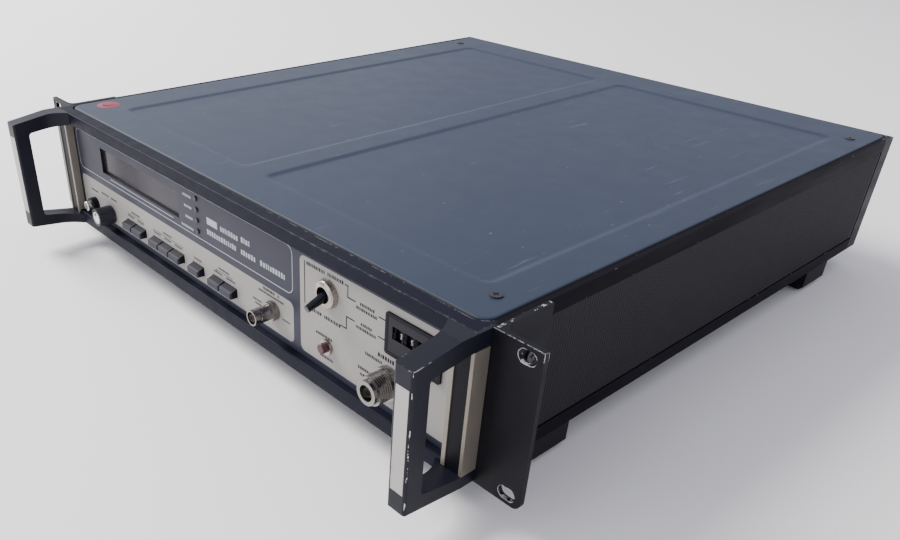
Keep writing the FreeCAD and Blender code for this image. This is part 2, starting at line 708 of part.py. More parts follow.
def make_front_panel():
    """Printed plate with an opening for each control."""
    body = new_body("panel_x", "-panel_front", "panel_z")
    outline = new_sketch(body, "XZ_Plane", "panel_outline")
    add_rectangle(outline, "plate", 0, 0, "panel_width", "panel_height")
    pad(body, outline, "panel_thick", reverse=True)
    square_cuts = new_sketch(body, "XZ_Plane", "panel_square_cuts")
    add_rectangle(square_cuts, "display", *panel_local("window_x", "window_z"),
                  "window_width", "window_height")
    add_rectangle(square_cuts, "bank", *panel_local("bank_x + 0.8", "bank_z + 0.8"),
                  "bank_width - 1.6", "bank_height - 1.6")
    for name, (middle, count) in BUTTON_GROUPS.items():
        x, z = panel_local(f"{middle} - {count} / 2 * button_pitch", "button_z - button_gap")
        add_rectangle(square_cuts, name, x, z, f"{count} * button_pitch", "button_height + 2 * button_gap")
    pocket(body, square_cuts)
    holes = {
        "knob_bush": ("knob_x", "knob_z", "4.6"), "power_bush": ("power_x", "power_z", "4.6"),
        "toggle_bush": ("toggle_x", "toggle_z", "5.2"), "lamp": ("lamp_x", "lamp_z", "3.3"),
        "n_input": ("n_x", "n_z", "6.4"), "bnc_input": ("bnc_x", "bnc_z", "4.9"),
    }
    round_cuts = new_sketch(body, "XZ_Plane", "panel_round_cuts")
    for name, (x, z, radius) in holes.items():
        add_circle(round_cuts, name, *panel_local(x, z), radius)
    for number in range(4):
        add_circle(round_cuts, f"led_{number}", *panel_local("led_x", f"led_top_z - {number} * led_pitch"),
                   "led_radius + 0.15")
    pocket(body, round_cuts)
    node("front_panel", body)


def make_display():
    """Tinted window, and the board behind it with its row of digit modules and four lamps."""
    window = box("window_x + 0.2", "-panel_front + window_recess", "window_z + 0.2",
                 "window_width - 0.4", "panel_thick - window_recess", "window_height - 0.4")
    flange = box("window_x - 2", "panel_back", "window_z - 2",
                 "window_width + 4", "1.2", "window_height + 4")
    node("display_window", fuse(window, flange))
    board = box("window_x - 4", "12", "window_z - 6", "window_width + 40", "1.6", "window_height + 11")
    digits = []
    for number in range(12):
        digits.append(box(f"window_x + 4 + {number} * 8.4", "5.4", "window_z + 3", "7.6", "6.6", "12.6"))
    node("display_board", fuse(board, *digits))
    lamps = []
    for number in range(4):
        z = f"led_top_z - {number} * led_pitch"
        lamps.append(rod("y", "led_x", "-panel_front - 0.9", z, "led_radius", "6.5"))
        lamps.append(rod("y", "led_x", "1.5", z, "led_radius + 0.2", "2.5"))
        lamps.append(box("led_x - 0.3", "4", f"{z} - 1.5", "0.6", "8", "3"))
    stacks = [fuse(*lamps[first:first + 3]) for first in range(0, 12, 3)]
    node("annunciator_leds", group(*stacks))


def make_push_buttons():
    """Eight caps with sloping tops whose stems slide in the key switches behind the panel."""
    skirt = "button_reach + panel_thick + 2"
    for number, x in enumerate(button_places(), start=1):
        body = new_body(x, "-panel_front - button_reach", "button_z")
        profile = new_sketch(body, "YZ_Plane", f"button_{number}_profile")
        add_polygon(profile, "cap", [
            (0, 0), (skirt, 0), (skirt, "button_height"), ("button_reach", "button_height"),
            (0, "button_height - button_slope")])
        pad(body, profile, "button_width")
        dress(body, "Fillet", "0.5", lambda middle, along, edge: middle.y < 0.1)
        stem = new_sketch(body, "XZ_Plane", f"button_{number}_stem")
        add_rectangle(stem, "stem", "button_width / 2 - 2", "button_height / 2 - 1.5", "4", "2")
        pad(body, stem, "button_reach + panel_thick + 17", reverse=True)
        node(f"push_button_{number}", body)


def make_switch_board():
    """Board that carries the eight key switches."""
    board = box("-136", "27", "-76", "160", "1.6", "22")
    housings = []
    wells = []
    for x in button_places():
        housings.append(box(f"{x} + 0.4", "8.2", "button_z - 1",
                            "button_width - 0.8", "19.2", "button_height + 2"))
        wells.append(box(f"{x} + button_width / 2 - 2.4", "7", "button_z + button_height / 2 - 2.4",
                         "4.8", "16", "4.8"))
    node("switch_board", cut(fuse(board, *housings), *wells))


def make_rate_knob():
    """Fluted knob on its shaft, and the control that the shaft turns in."""
    body = new_body("knob_x", "-panel_front - knob_length - 0.6", "knob_z")
    profile = new_sketch(body, "XY_Plane", "knob_profile")
    add_rectangle(profile, "grip", 0, 0, "knob_radius", "knob_length")
    turned = body.newObject("PartDesign::Revolution", "knob_turned")
    turned.Profile = profile
    turned.ReferenceAxis = (profile, ["V_Axis"])
    turned.Angle = 360
    doc.recompute()
    flute = new_sketch(body, "XZ_Plane", "knob_flute")
    add_circle(flute, "flute", "knob_radius + 0.35", 0, "0.8")
    first_flute = pocket(body, flute)
    ring = body.newObject("PartDesign::PolarPattern", "knob_flutes")
    ring.Originals = [first_flute]
    ring.Axis = (origin_plane(body, "Y_Axis"), [""])
    ring.Angle = 360
    ring.Occurrences = 20
    body.Tip = ring
    doc.recompute()
    dress(body, "Fillet", "0.5", lambda middle, along, edge: middle.y < 0.1 and edge.Length > 0.5)
    shaft = new_sketch(body, "XZ_Plane", "knob_shaft")
    add_circle(shaft, "shaft", 0, 0, "shaft_radius")
    pad(body, shaft, "knob_length + 16", reverse=True)
    recess = new_sketch(body, "XZ_Plane", "knob_recess")
    add_circle(recess, "recess", 0, 0, "knob_recess")
    pocket(body, recess, "0.8")
    node("rate_knob", body)
    bush = rod("y", "knob_x", "-panel_front - 0.2", "knob_z", "4.5", "10.2")
    case = rod("y", "knob_x", "panel_back", "knob_z", "8.5", "14")
    bore = rod("y", "knob_x", "-panel_front - 1", "knob_z", "shaft_radius + 0.05", "17")
    tags = [box(f"knob_x - 4.6 + {number} * 4", "panel_back + 4", "knob_z + 7", "1.2", "0.8", "5.5")
            for number in range(3)]
    node("rate_control", cut(fuse(bush, case, *tags), bore))


def make_power_switch():
    """Push-push power switch: a bright button in a black collar."""
    def at_front(middle, along, edge):
        return middle.y < DATUM_Y - SIZES["panel_front"] - 1
    button = rod("y", "power_x", "-panel_front - power_reach", "power_z", "power_radius", "power_reach + 12")
    node("power_button", round_edges(button, 0.8, at_front))
    collar = rod("y", "power_x", "-panel_front - power_collar", "power_z", "5.6", "power_collar")
    thread = rod("y", "power_x", "-panel_front - 1", "power_z", "4.5", "8")
    case = box("power_x - 9", "panel_back", "power_z - 9", "18", "26", "17")
    bore = rod("y", "power_x", "-panel_front - 7", "power_z", "power_radius + 0.3", "24")
    node("power_switch", cut(fuse(round_edges(collar, 0.7, at_front), thread, case), bore))


def make_mode_toggle():
    """Bat-handle toggle that rests pointing down, in a large round bushing."""
    rest = math.radians(SIZES["toggle_rest"])
    lever = fresh("Part::Cone")
    lever.Radius1 = 3.0
    lever.Radius2 = 2.1
    bind(lever, "Height", "lever_length")
    lever.Placement.Rotation = FreeCAD.Rotation(FreeCAD.Vector(0, 0, 1),
                                                FreeCAD.Vector(0, -math.cos(rest), -math.sin(rest)))
    place(lever, "toggle_x", "-toggle_pivot", "toggle_z")
    ball = fresh("Part::Sphere")
    ball.Radius = 3.1
    place(ball, "toggle_x", "-toggle_pivot", "toggle_z")
    node("mode_toggle_lever", fuse(lever, ball))
    skirt = taper("y", "toggle_x", "-panel_front - bushing_reach", "toggle_z",
                  "bushing_radius - 0.6", "bushing_radius", "bushing_reach")
    rounded = round_edges(skirt, 0.8, lambda middle, along, edge:
                          middle.y < DATUM_Y - SIZES["panel_front"] - 1)
    thread = rod("y", "toggle_x", "-panel_front - 1", "toggle_z", "5.0", "6")
    case = box("toggle_x - 7", "panel_back", "toggle_z - 9", "14", "18", "18")
    throat = taper("y", "toggle_x", "-panel_front - bushing_reach - 0.2", "toggle_z", "4.8", "3.9", "10.5")
    node("mode_toggle_switch", cut(fuse(rounded, thread, case), throat))


def make_signal_lamp():
    bezel = rod("y", "lamp_x", "-panel_front - 1.8", "lamp_z", "4.4", "1.8")
    sleeve = rod("y", "lamp_x", "-panel_front - 0.5", "lamp_z", "3.2", "14")
    bore = rod("y", "lamp_x", "-panel_front - 3", "lamp_z", "2.7", "12")
    node("lamp_bezel", cut(fuse(bezel, sleeve), bore))
    lens = rod("y", "lamp_x", "-panel_front - 5.4", "lamp_z", "2.6", "9")
    rim = rod("y", "lamp_x", "-panel_front - 5.4", "lamp_z", "lamp_radius", "3.5")
    node("lamp_lens", round_edges(fuse(lens, rim), 0.8, lambda middle, along, edge:
                                  middle.y < DATUM_Y - SIZES["panel_front"] - 4))


def make_coaxial_inputs():
    """Threaded N socket and bayonet BNC socket with their nuts, insulators and contacts."""
    mouth = rod("y", "n_x", "-panel_front - 16.4", "n_z", "6.9", "3.2")
    barrel = rod("y", "n_x", "-panel_front - 13.6", "n_z", "7.9", "9.6")
    ridges = [rod("y", "n_x", f"-panel_front - 13.3 + {number} * 1.4", "n_z", "8.2", "0.7")
              for number in range(6)]
    seat = rod("y", "n_x", "-panel_front - 4.2", "n_z", "9.4", "4.2")
    tail = rod("y", "n_x", "-panel_front - 1", "n_z", "6.3", "13.5")
    nut = rod("y", "n_x", "panel_back", "n_z", "9.0", "3.4")
    socket = rod("y", "n_x", "-panel_front - 17", "n_z", "4.6", "12.6")
    contact = rod("y", "n_x", "-panel_front - 11", "n_z", "1.5", "8")
    node("n_input", fuse(cut(fuse(mouth, barrel, *ridges, seat, tail, nut), socket), contact))
    shell = rod("y", "bnc_x", "-panel_front - 16", "bnc_z", "4.8", "15.5")
    lugs = rod("x", "bnc_x - 5.9", "-panel_front - 11.5", "bnc_z", "1.0", "11.8")
    collar = rod("y", "bnc_x", "-panel_front - 4.6", "bnc_z", "6.2", "4.6")
    bnc_tail = rod("y", "bnc_x", "-panel_front - 1", "bnc_z", "4.7", "12")
    bnc_nut = rod("y", "bnc_x", "panel_back", "bnc_z", "7.4", "2.6")
    bnc_socket = rod("y", "bnc_x", "-panel_front - 17", "bnc_z", "3.9", "11")
    bnc_pin = rod("y", "bnc_x", "-panel_front - 13", "bnc_z", "1.1", "8")
    node("bnc_input", fuse(cut(fuse(shell, lugs, collar, bnc_tail, bnc_nut), bnc_socket), bnc_pin))


def wheel_left(number):
    """Left side of a digit wheel."""
    return f"bank_x + bank_width / 2 + ({number} - 2.5) * wheel_pitch - 3.1"


def make_thumbwheels():
    """Bank of four digit wheels that turn on one axle."""
    frame = box("bank_x", "-panel_front - 1.2", "bank_z", "bank_width", "1.2", "bank_height")
    case = box("bank_x + 1", "-panel_front", "bank_z + 1", "bank_width - 2", "27", "bank_height - 2")
    recess = box("bank_x + 2", "-panel_front - 2", "bank_z + 2", "bank_width - 4", "3.0", "bank_height - 4")
    wells = []
    for number in range(1, 5):
        wells.append(box(f"{wheel_left(number)} - 0.25", "-panel_front - 2", "bank_z + 3.2",
                         "6.7", "wheel_y + wheel_radius + 6", "bank_height - 6.4"))
    for number in range(1, 5):
        wells.append(rod("x", f"{wheel_left(number)} - 0.25", "wheel_y",
                         "bank_z + bank_height / 2", "wheel_radius + 0.6", "6.7"))
    frame_corners = round_edges(frame, 1.6, runs_along("y"))
    axle = rod("x", "bank_x + 2", "wheel_y", "bank_z + bank_height / 2", "axle_radius", "bank_width - 4")
    clip_body = box("bank_x + 1", "panel_back", "bank_z + 0.6", "bank_width - 2", "25", "bank_height - 1.2")
    housing = cut(fuse(frame_corners, case, clip_body), recess, *wells)
    node("thumbwheel_housing", fuse(housing, axle))
    for number in range(1, 5):
        left = wheel_left(number)
        drum = rod("x", left, "wheel_y", "bank_z + bank_height / 2", "wheel_radius - 1.6", "6.2")
        rim = rod("x", left, "wheel_y", "bank_z + bank_height / 2", "wheel_radius", "1.8")
        bore = rod("x", f"{left} - 1", "wheel_y", "bank_z + bank_height / 2", "axle_radius + 0.05", "9")
        node(f"thumbwheel_{number}", cut(fuse(drum, rim), bore))


# ---------------------------------------------------------------- rear
REAR_BNC = {"reference": 20.0, "gate": 45.0, "output": 70.0}


def make_rear_panel():
    """Recessed plate with the fan grille and the connector openings."""
    plate = box("-half_body + side_wall + 0.3", "rear_panel_y", "-body_height + cover_thick + 0.4",
                "body_width - 2 * side_wall - 0.6", "rear_panel_thick",
                "body_height - 2 * cover_thick - 0.8")
    tools = [box("inlet_x", "rear_panel_y - 1", "inlet_z", "inlet_width", "5", "inlet_height")]
    for x in REAR_BNC.values():
        tools.append(rod("y", f"{x}", "rear_panel_y - 1", "socket_row_z", "4.9", "5"))
    tools.append(box("-90", "rear_panel_y - 1", "socket_row_z - 4", "60", "5", "12"))
    for ring in range(1, 4):
        for step in range(8 * ring):
            angle = 2 * math.pi * step / (8 * ring)
            reach = 7.6 * ring + 2
            tools.append(rod("y", f"fan_x + {reach * math.cos(angle)}", "rear_panel_y - 1",
                             f"fan_z + {reach * math.sin(angle)}", "2.7", "5"))
    node("rear_panel", cut(plate, *tools))


def make_fan():
    """Cooling fan: square frame with a motor on four struts, and its rotor."""
    frame = box("fan_x - fan_size / 2", "rear_panel_y - fan_depth", "fan_z - fan_size / 2",
                "fan_size", "fan_depth", "fan_size")
    bore = rod("y", "fan_x", "rear_panel_y - fan_depth - 1", "fan_z", "fan_bore", "fan_depth + 2")
    squared = round_edges(frame, 4, runs_along("y"))
    motor = rod("y", "fan_x", "rear_panel_y - fan_depth", "fan_z", "rotor_hub", "4")
    pin = rod("y", "fan_x", "rear_panel_y - fan_depth", "fan_z", "2.0", "18")
    strut = "2 * fan_bore + 1"
    across = box("fan_x - fan_bore - 0.5", "rear_panel_y - fan_depth", "fan_z - 1.5", strut, "3", "3")
    upright = box("fan_x - 1.5", "rear_panel_y - fan_depth", "fan_z - fan_bore - 0.5", "3", "3", strut)
    node("fan_frame", fuse(cut(squared, bore), motor, pin, across, upright))
    hub = rod("y", "fan_x", "rear_panel_y - fan_depth + 5", "fan_z", "rotor_hub", "17")
    shaft_hole = rod("y", "fan_x", "rear_panel_y - fan_depth + 4", "fan_z", "2.05", "15")
    blades = []
    for number in range(7):
        blade = fresh("Part::Box")
        bind(blade, "Length", "rotor_tip - rotor_hub + 3")
        blade.Width = 15
        blade.Height = 1.6
        about = FreeCAD.Rotation(FreeCAD.Vector(0, 1, 0), 360 * number / 7)
        pitch = FreeCAD.Rotation(FreeCAD.Vector(1, 0, 0), 32)
        blade.Placement.Rotation = about.multiply(pitch)
        start = about.multVec(FreeCAD.Vector(SIZES["rotor_hub"] - 3, 0, -4.5))
        place(blade, f"fan_x + {start.x}", "rear_panel_y - fan_depth + 7", f"fan_z + {start.z}")
        blades.append(blade)
    disc = rod("y", "fan_x", "rear_panel_y - fan_depth + 5.4", "fan_z", "rotor_tip", "16")
    trimmed = fresh("Part::MultiCommon")
    trimmed.Shapes = [fuse(*blades), disc]
    node("fan_rotor", cut(fuse(hub, trimmed), shaft_hole))


def make_rear_connectors():
    """Power inlet with its fuse drawer, three BNC sockets and the bus socket."""
    flange = box("inlet_x - 3", "rear_panel_y + rear_panel_thick", "inlet_z - 3",
                 "inlet_width + 6", "3", "inlet_height + 6")
    shell = box("inlet_x + 0.5", "rear_panel_y - 20", "inlet_z + 0.5",
                "inlet_width - 1", "25", "inlet_height - 1")
    socket = box("inlet_x + 2.5", "rear_panel_y - 12", "inlet_z + 3", "24", "20", "16.5")
    drawer_gap = box("inlet_x + 4.5", "rear_panel_y + 3", "inlet_z + 25", "20", "4", "17")
    drawer = box("inlet_x + 5.2", "rear_panel_y + 2", "inlet_z + 25.7", "18.6", "4.4", "15.6")
    blades = [box(f"inlet_x + inlet_width / 2 + ({offset}) - 1", "rear_panel_y - 13",
                  f"inlet_z + 11.2 + ({rise}) - 2", "2", "14", "4")
              for offset, rise in ((-7, -2), (0, 2), (7, -2))]
    node("power_inlet", fuse(cut(fuse(flange, shell), socket, drawer_gap), drawer, *blades))
    sockets = []
    for x in REAR_BNC.values():
        shell = rod("y", f"{x}", "rear_panel_y - 6", "socket_row_z", "4.8", "21")
        collar = rod("y", f"{x}", "rear_panel_y + rear_panel_thick", "socket_row_z", "6.6", "3")
        nut = rod("y", f"{x}", "rear_panel_y - 2.6", "socket_row_z", "7.2", "2.6")
        lugs = rod("x", f"{x} - 5.9", "rear_panel_y + 11", "socket_row_z", "1.0", "11.8")
        socket = rod("y", f"{x}", "rear_panel_y + 6", "socket_row_z", "3.9", "11")
        pin = rod("y", f"{x}", "rear_panel_y + 5", "socket_row_z", "1.1", "7")
        sockets.append(fuse(cut(fuse(shell, collar, nut, lugs), socket), pin))
    bus_flange = box("-96", "rear_panel_y + rear_panel_thick", "socket_row_z - 6.5", "72", "2", "17")
    bus_shell = box("-89", "rear_panel_y - 8", "socket_row_z - 3.5", "58", "15", "11")
    bus_well = box("-86.5", "rear_panel_y + 1", "socket_row_z - 1.5", "53", "8", "7")
    sockets.append(cut(fuse(bus_flange, bus_shell), bus_well))
    node("rear_connectors", group(*sockets))


# ---------------------------------------------------------------- inside
def make_inside():
    """Boards, transformer, reservoir capacitors and the microwave converter."""
    board = box("-196", "50", "-body_height + 12", "300", "330", "1.6")
    chips = []
    for row in range(4):
        for column in range(7):
            chips.append(box(f"-100 + {column} * 26", f"70 + {row} * 24", "-body_height + 13.4",
                             "8", "19", "4"))
    posts = [rod("z", f"{x}", f"{y}", "-body_height + cover_thick", "3.5", "12.2 - cover_thick")
             for x in (-176, 94) for y in (60, 370)]
    node("main_board", fuse(board, *chips, *posts))
    cards = []
    for number in range(5):
        card = box("-90", f"190 + {number} * 22", "-body_height + 16", "180", "1.6", "54")
        sockets = box("-80", f"187.5 + {number} * 22", "-body_height + 13.6", "160", "6.6", "8")
        parts = [box(f"-78 + {column} * 30", f"191 + {number} * 22", "-body_height + 34", "18", "4.6", "7")
                 for column in range(6)]
        cards.append(fuse(card, sockets, *parts))
    node("plug_in_boards", group(*cards))
    core = box("-176", "290", "-body_height + 13.6", "66", "76", "56")
    coil = box("-170", "282", "-body_height + 22", "54", "92", "40")
    node("power_transformer", fuse(core, coil))
    cans = [rod("z", f"{x}", f"{y}", "-body_height + 13.6", "16", "52")
            for x in (-160, -124) for y in (205, 243)]
    node("reservoir_capacitors", group(*cans))
    module = box("118", "40", "-body_height + 8", "74", "260", "56")
    lid = box("116", "38", "-body_height + 64", "78", "264", "3")
    tube = rod("y", "n_x", "13", "n_z", "1.8", "28")
    flange = rod("y", "n_x", "8", "n_z", "5.4", "6")
    feet = [box(f"{x}", f"{y}", "-body_height + cover_thick", "8", "8", "8.2 - cover_thick")
            for x in (122, 174) for y in (44, 288)]
    node("converter_module", fuse(module, lid, tube, flange, *feet))


# ---------------------------------------------------------------- build
make_front_frame()
make_rear_frame()
for side, word in ((-1, "left"), (1, "right")):
    make_side_frame(f"{word}_side_frame", side)
    make_side_insert(f"{word}_side_insert", side)
    make_handle(f"{word}_handle", side)
    make_inlay(f"{word}_handle_inlay", side)
    make_trim(f"{word}_handle_trim", side)
    make_rack_ear(f"{word}_rack_ear", side)
make_top_cover()
make_bottom_cover()
make_case_screws()
for foot, (side, y) in FEET.items():
    make_foot(foot, side, y)
make_foot_screws()
make_front_panel()
make_display()
make_push_buttons()
make_switch_board()
make_rate_knob()
make_power_switch()
make_mode_toggle()
make_signal_lamp()
make_coaxial_inputs()
make_thumbwheels()
make_rear_panel()
make_fan()
make_rear_connectors()
make_inside()
doc.recompute()

for item in doc.Objects:
    if "Invalid" in item.State or "Error" in item.State:
        raise RuntimeError(f"{item.Name} ({item.Label}) failed: {item.State}")
for name, item in nodes.items():
    if item.Shape.isNull() or not item.Shape.isValid():
        raise RuntimeError(f"{name} has no valid shape")
for name, item in nodes.items():
    item.Shape.exportStep(f"parts/{name}.step")
print(len(nodes), "sub-parts written")
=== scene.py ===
"""Looks for the frequency counter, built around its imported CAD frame.

Lengths are millimetres from the body's datum (middle of the width, front faces of the rack
ears, top of the body) until at(), add_mesh() or a Shader turns them into the row frame's
metres. Only the lights and the floor are given in metres from the start.
"""
import math
import random

import bmesh
import bpy
from mathutils import Matrix, Vector


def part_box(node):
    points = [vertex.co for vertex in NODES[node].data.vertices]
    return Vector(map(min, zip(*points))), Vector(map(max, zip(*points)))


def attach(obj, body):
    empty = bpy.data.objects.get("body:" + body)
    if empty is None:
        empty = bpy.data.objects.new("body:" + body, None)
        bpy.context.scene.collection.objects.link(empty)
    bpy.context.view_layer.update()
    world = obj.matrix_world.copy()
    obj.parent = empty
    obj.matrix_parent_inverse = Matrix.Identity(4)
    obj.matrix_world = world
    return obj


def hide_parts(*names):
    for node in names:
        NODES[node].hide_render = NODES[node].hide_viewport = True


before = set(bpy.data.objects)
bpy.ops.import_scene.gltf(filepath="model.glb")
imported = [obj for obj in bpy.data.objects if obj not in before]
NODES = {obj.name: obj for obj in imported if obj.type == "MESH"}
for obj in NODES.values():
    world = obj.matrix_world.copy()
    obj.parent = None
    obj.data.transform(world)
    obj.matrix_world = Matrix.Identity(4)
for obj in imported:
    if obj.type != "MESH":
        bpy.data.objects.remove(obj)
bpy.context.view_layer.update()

MM = 0.001
DATUM = Vector((0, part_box("left_rack_ear")[0].y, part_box("left_side_frame")[1].z))


def at(x, y, z):
    """A point given from the datum in millimetres, in the row frame in metres."""
    return DATUM + Vector((x, y, z)) * MM


def span(name):
    """A CAD node's box in millimetres from the datum."""
    low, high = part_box(name)
    return (low - DATUM) / MM, (high - DATUM) / MM


# ---------------------------------------------------------------- camera, light and floor
CAMERA_PLACE = (406.1, -250.3, 179.7)
CAMERA_HEADING, CAMERA_PITCH, CAMERA_ROLL = 47.958, -32.368, 1.75
CAMERA_LENS, CAMERA_SENSOR = 33.048, 36.0
CAMERA_SHIFT = (0.09699, 0.09687)

# Name, place, aim and size in metres, power in watts, colour.
LIGHTS = (("key_light", (-2.3, -0.9, 2.1), (0, 0, 0.05), 1.7, 190, (1.0, 0.985, 0.96)),
          ("side_card", (-2.4, 1.3, 0.75), (0, 0, 0.05), 1.8, 3.2, (0.97, 0.98, 1.0)),
          ("front_fill", (-0.3, -2.0, 1.0), (0, -0.1, 0.05), 1.6, 14, (0.95, 0.97, 1.0)))
SKY_COLOUR = (0.87, 0.88, 1.0)
SKY_STRENGTH = 0.84
FLOOR_SIZE = 8


def add_camera():
    data = bpy.data.cameras.new("camera")
    data.lens = CAMERA_LENS
    data.sensor_width = CAMERA_SENSOR
    data.shift_x, data.shift_y = CAMERA_SHIFT
    data.clip_start = 0.01
    camera = bpy.data.objects.new("camera", data)
    turn = (Matrix.Rotation(math.radians(CAMERA_HEADING), 4, "Z")
            @ Matrix.Rotation(math.radians(90 + CAMERA_PITCH), 4, "X")
            @ Matrix.Rotation(math.radians(CAMERA_ROLL), 4, "Z"))
    camera.matrix_world = Matrix.Translation(at(*CAMERA_PLACE)) @ turn
    bpy.context.scene.collection.objects.link(camera)
    bpy.context.scene.camera = camera


def add_area_light(name, place, aim, size, power, colour):
    data = bpy.data.lights.new(name, "AREA")
    data.shape = "DISK"
    data.size = size
    data.energy = power
    data.color = colour
    light = bpy.data.objects.new(name, data)
    light.location = place
    light.rotation_euler = (Vector(aim) - Vector(place)).to_track_quat("-Z", "Y").to_euler()
    bpy.context.scene.collection.objects.link(light)


def add_lighting():
    for settings in LIGHTS:
        add_area_light(*settings)
    world = bpy.data.worlds.new("studio")
    world.use_nodes = True
    background = world.node_tree.nodes["Background"]
    background.inputs["Color"].default_value = (*SKY_COLOUR, 1)
    background.inputs["Strength"].default_value = SKY_STRENGTH
    bpy.context.scene.world = world


def add_floor():
    bpy.ops.mesh.primitive_plane_add(size=FLOOR_SIZE, location=(0, 0, 0))
    floor = bpy.context.object
    floor.name = "floor"
    paper = Shader("floor_paper")
    tone = paper.noise(0.004, detail=2)
    paper.colour(paper.mix(tone, (0.93, 0.91, 0.90), (0.96, 0.94, 0.93)))
    paper.set(Roughness=0.7)
    floor.data.materials.append(paper.material)


# ---------------------------------------------------------------- material building blocks
NOISE_RANGE = (0.3, 0.7)
# Cosine between the bevelled and the true normal, where an edge starts and where it is full.
EDGE_COSINES = (0.995, 0.82)


class Shader:
    """A node material whose coordinates are millimetres from the body's datum."""

    def __init__(self, name):
        self.material = bpy.data.materials.new(name)
        self.material.use_nodes = True
        self.tree = self.material.node_tree
        self.surface = self.tree.nodes["Principled BSDF"]
        self._place = None

    def node(self, kind, **settings):
        item = self.tree.nodes.new(kind)
        for key, value in settings.items():
            setattr(item, key, value)
        return item

    def feed(self, socket, value):
        """Link a node's output, or set a constant."""
        if isinstance(value, bpy.types.NodeSocket):
            self.tree.links.new(value, socket)
        elif isinstance(value, (tuple, list)) and len(value) == 3 and socket.type == "RGBA":
            socket.default_value = (*value, 1)
        else:
            socket.default_value = value

    def place(self):
        """Position in millimetres from the datum."""
        if self._place is None:
            coordinates = self.node("ShaderNodeTexCoord")
            shift = self.node("ShaderNodeVectorMath", operation="SUBTRACT")
            self.feed(shift.inputs[0], coordinates.outputs["Object"])
            shift.inputs[1].default_value = DATUM
            scale = self.node("ShaderNodeVectorMath", operation="SCALE")
            self.feed(scale.inputs[0], shift.outputs[0])
            scale.inputs["Scale"].default_value = 1 / MM
            self._place = scale.outputs[0]
        return self._place

    def axes(self):
        """Position across, along and up, in millimetres."""
        split = self.node("ShaderNodeSeparateXYZ")
        self.feed(split.inputs[0], self.place())
        return split.outputs

    def math(self, operation, a, b=None):
        item = self.node("ShaderNodeMath", operation=operation)
        self.feed(item.inputs[0], a)
        if b is not None:
            self.feed(item.inputs[1], b)
        return item.outputs[0]

    def noise(self, frequency, detail=3, stretch=(1, 1, 1), roughness=0.5):
        """Noise in cycles per millimetre, stretched by direction."""
        mapping = self.node("ShaderNodeMapping")
        self.feed(mapping.inputs["Vector"], self.place())
        mapping.inputs["Scale"].default_value = stretch
        item = self.node("ShaderNodeTexNoise")
        self.feed(item.inputs["Vector"], mapping.outputs[0])
        item.inputs["Scale"].default_value = frequency
        item.inputs["Detail"].default_value = detail
        item.inputs["Roughness"].default_value = roughness
        return item.outputs["Fac"]

    def remap(self, value, low, high, to_low=0.0, to_high=1.0):
        item = self.node("ShaderNodeMapRange", clamp=True)
        limits = {"From Min": low, "From Max": high, "To Min": to_low, "To Max": to_high}
        for name, number in limits.items():
            item.inputs[name].default_value = number
        self.feed(item.inputs["Value"], value)
        return item.outputs["Result"]

    def vary(self, noise, low, high):
        """Stretch a noise's usual range over two limits."""
        return self.remap(noise, *NOISE_RANGE, low, high)

    def times(self, first, *others):
        """Product of masks and amounts."""
        for other in others:
            first = self.math("MULTIPLY", first, other)
        return first

    def above(self, value, limit):
        return self.math("GREATER_THAN", value, limit)

    def below(self, value, limit):
        return self.math("LESS_THAN", value, limit)

    def within(self, low, high, value):
        """1 where the value lies between two limits."""
        return self.times(self.above(value, low), self.below(value, high))

    def mix(self, factor, first, second):
        item = self.node("ShaderNodeMix", data_type="RGBA")
        self.feed(item.inputs["Factor"], factor)
        self.feed(item.inputs[6], first)
        self.feed(item.inputs[7], second)
        return item.outputs[2]

    def colour(self, value):
        self.feed(self.surface.inputs["Base Color"], value)

    def set(self, **values):
        for name, value in values.items():
            self.feed(self.surface.inputs[name.replace("_", " ")], value)

    def shine(self, level):
        """Specular level, a constant on the shader's own socket."""
        self.surface.inputs["Specular IOR Level"].default_value = level

    def bump(self, height, distance):
        """Raise the surface by a height pattern, distance in millimetres."""
        item = self.node("ShaderNodeBump")
        item.inputs["Distance"].default_value = distance * MM
        self.feed(item.inputs["Height"], height)
        self.feed(self.surface.inputs["Normal"], item.outputs[0])

    def edge(self, radius):
        """How close a point is to a sharp edge, from 0 to 1."""
        bevel = self.node("ShaderNodeBevel", samples=4)
        bevel.inputs["Radius"].default_value = radius * MM
        geometry = self.node("ShaderNodeNewGeometry")
        dot = self.node("ShaderNodeVectorMath", operation="DOT_PRODUCT")
        self.feed(dot.inputs[0], bevel.outputs[0])
        self.feed(dot.inputs[1], geometry.outputs["Normal"])
        return self.remap(dot.outputs["Value"], *EDGE_COSINES)

    def rounded_rectangle(self, x, z, left, right, low, high, radius):
        """Signed distance in millimetres to a rounded rectangle, negative inside."""
        half = ((right - left) / 2, (high - low) / 2)
        middle = ((right + left) / 2, (high + low) / 2)
        reach = []
        for value, centre, size in zip((x, z), middle, half):
            offset = self.math("ABSOLUTE", self.math("SUBTRACT", value, centre))
            reach.append(self.math("SUBTRACT", offset, size - radius))
        outside = [self.math("MAXIMUM", value, 0.0) for value in reach]
        squares = [self.math("MULTIPLY", value, value) for value in outside]
        corner = self.math("SQRT", self.math("ADD", *squares))
        inside = self.math("MINIMUM", self.math("MAXIMUM", *reach), 0.0)
        return self.math("SUBTRACT", self.math("ADD", corner, inside), radius)


def dress(material, *names):
    """Give CAD nodes a material."""
    for name in names:
        mesh = NODES[name].data
        mesh.materials.clear()
        mesh.materials.append(material)


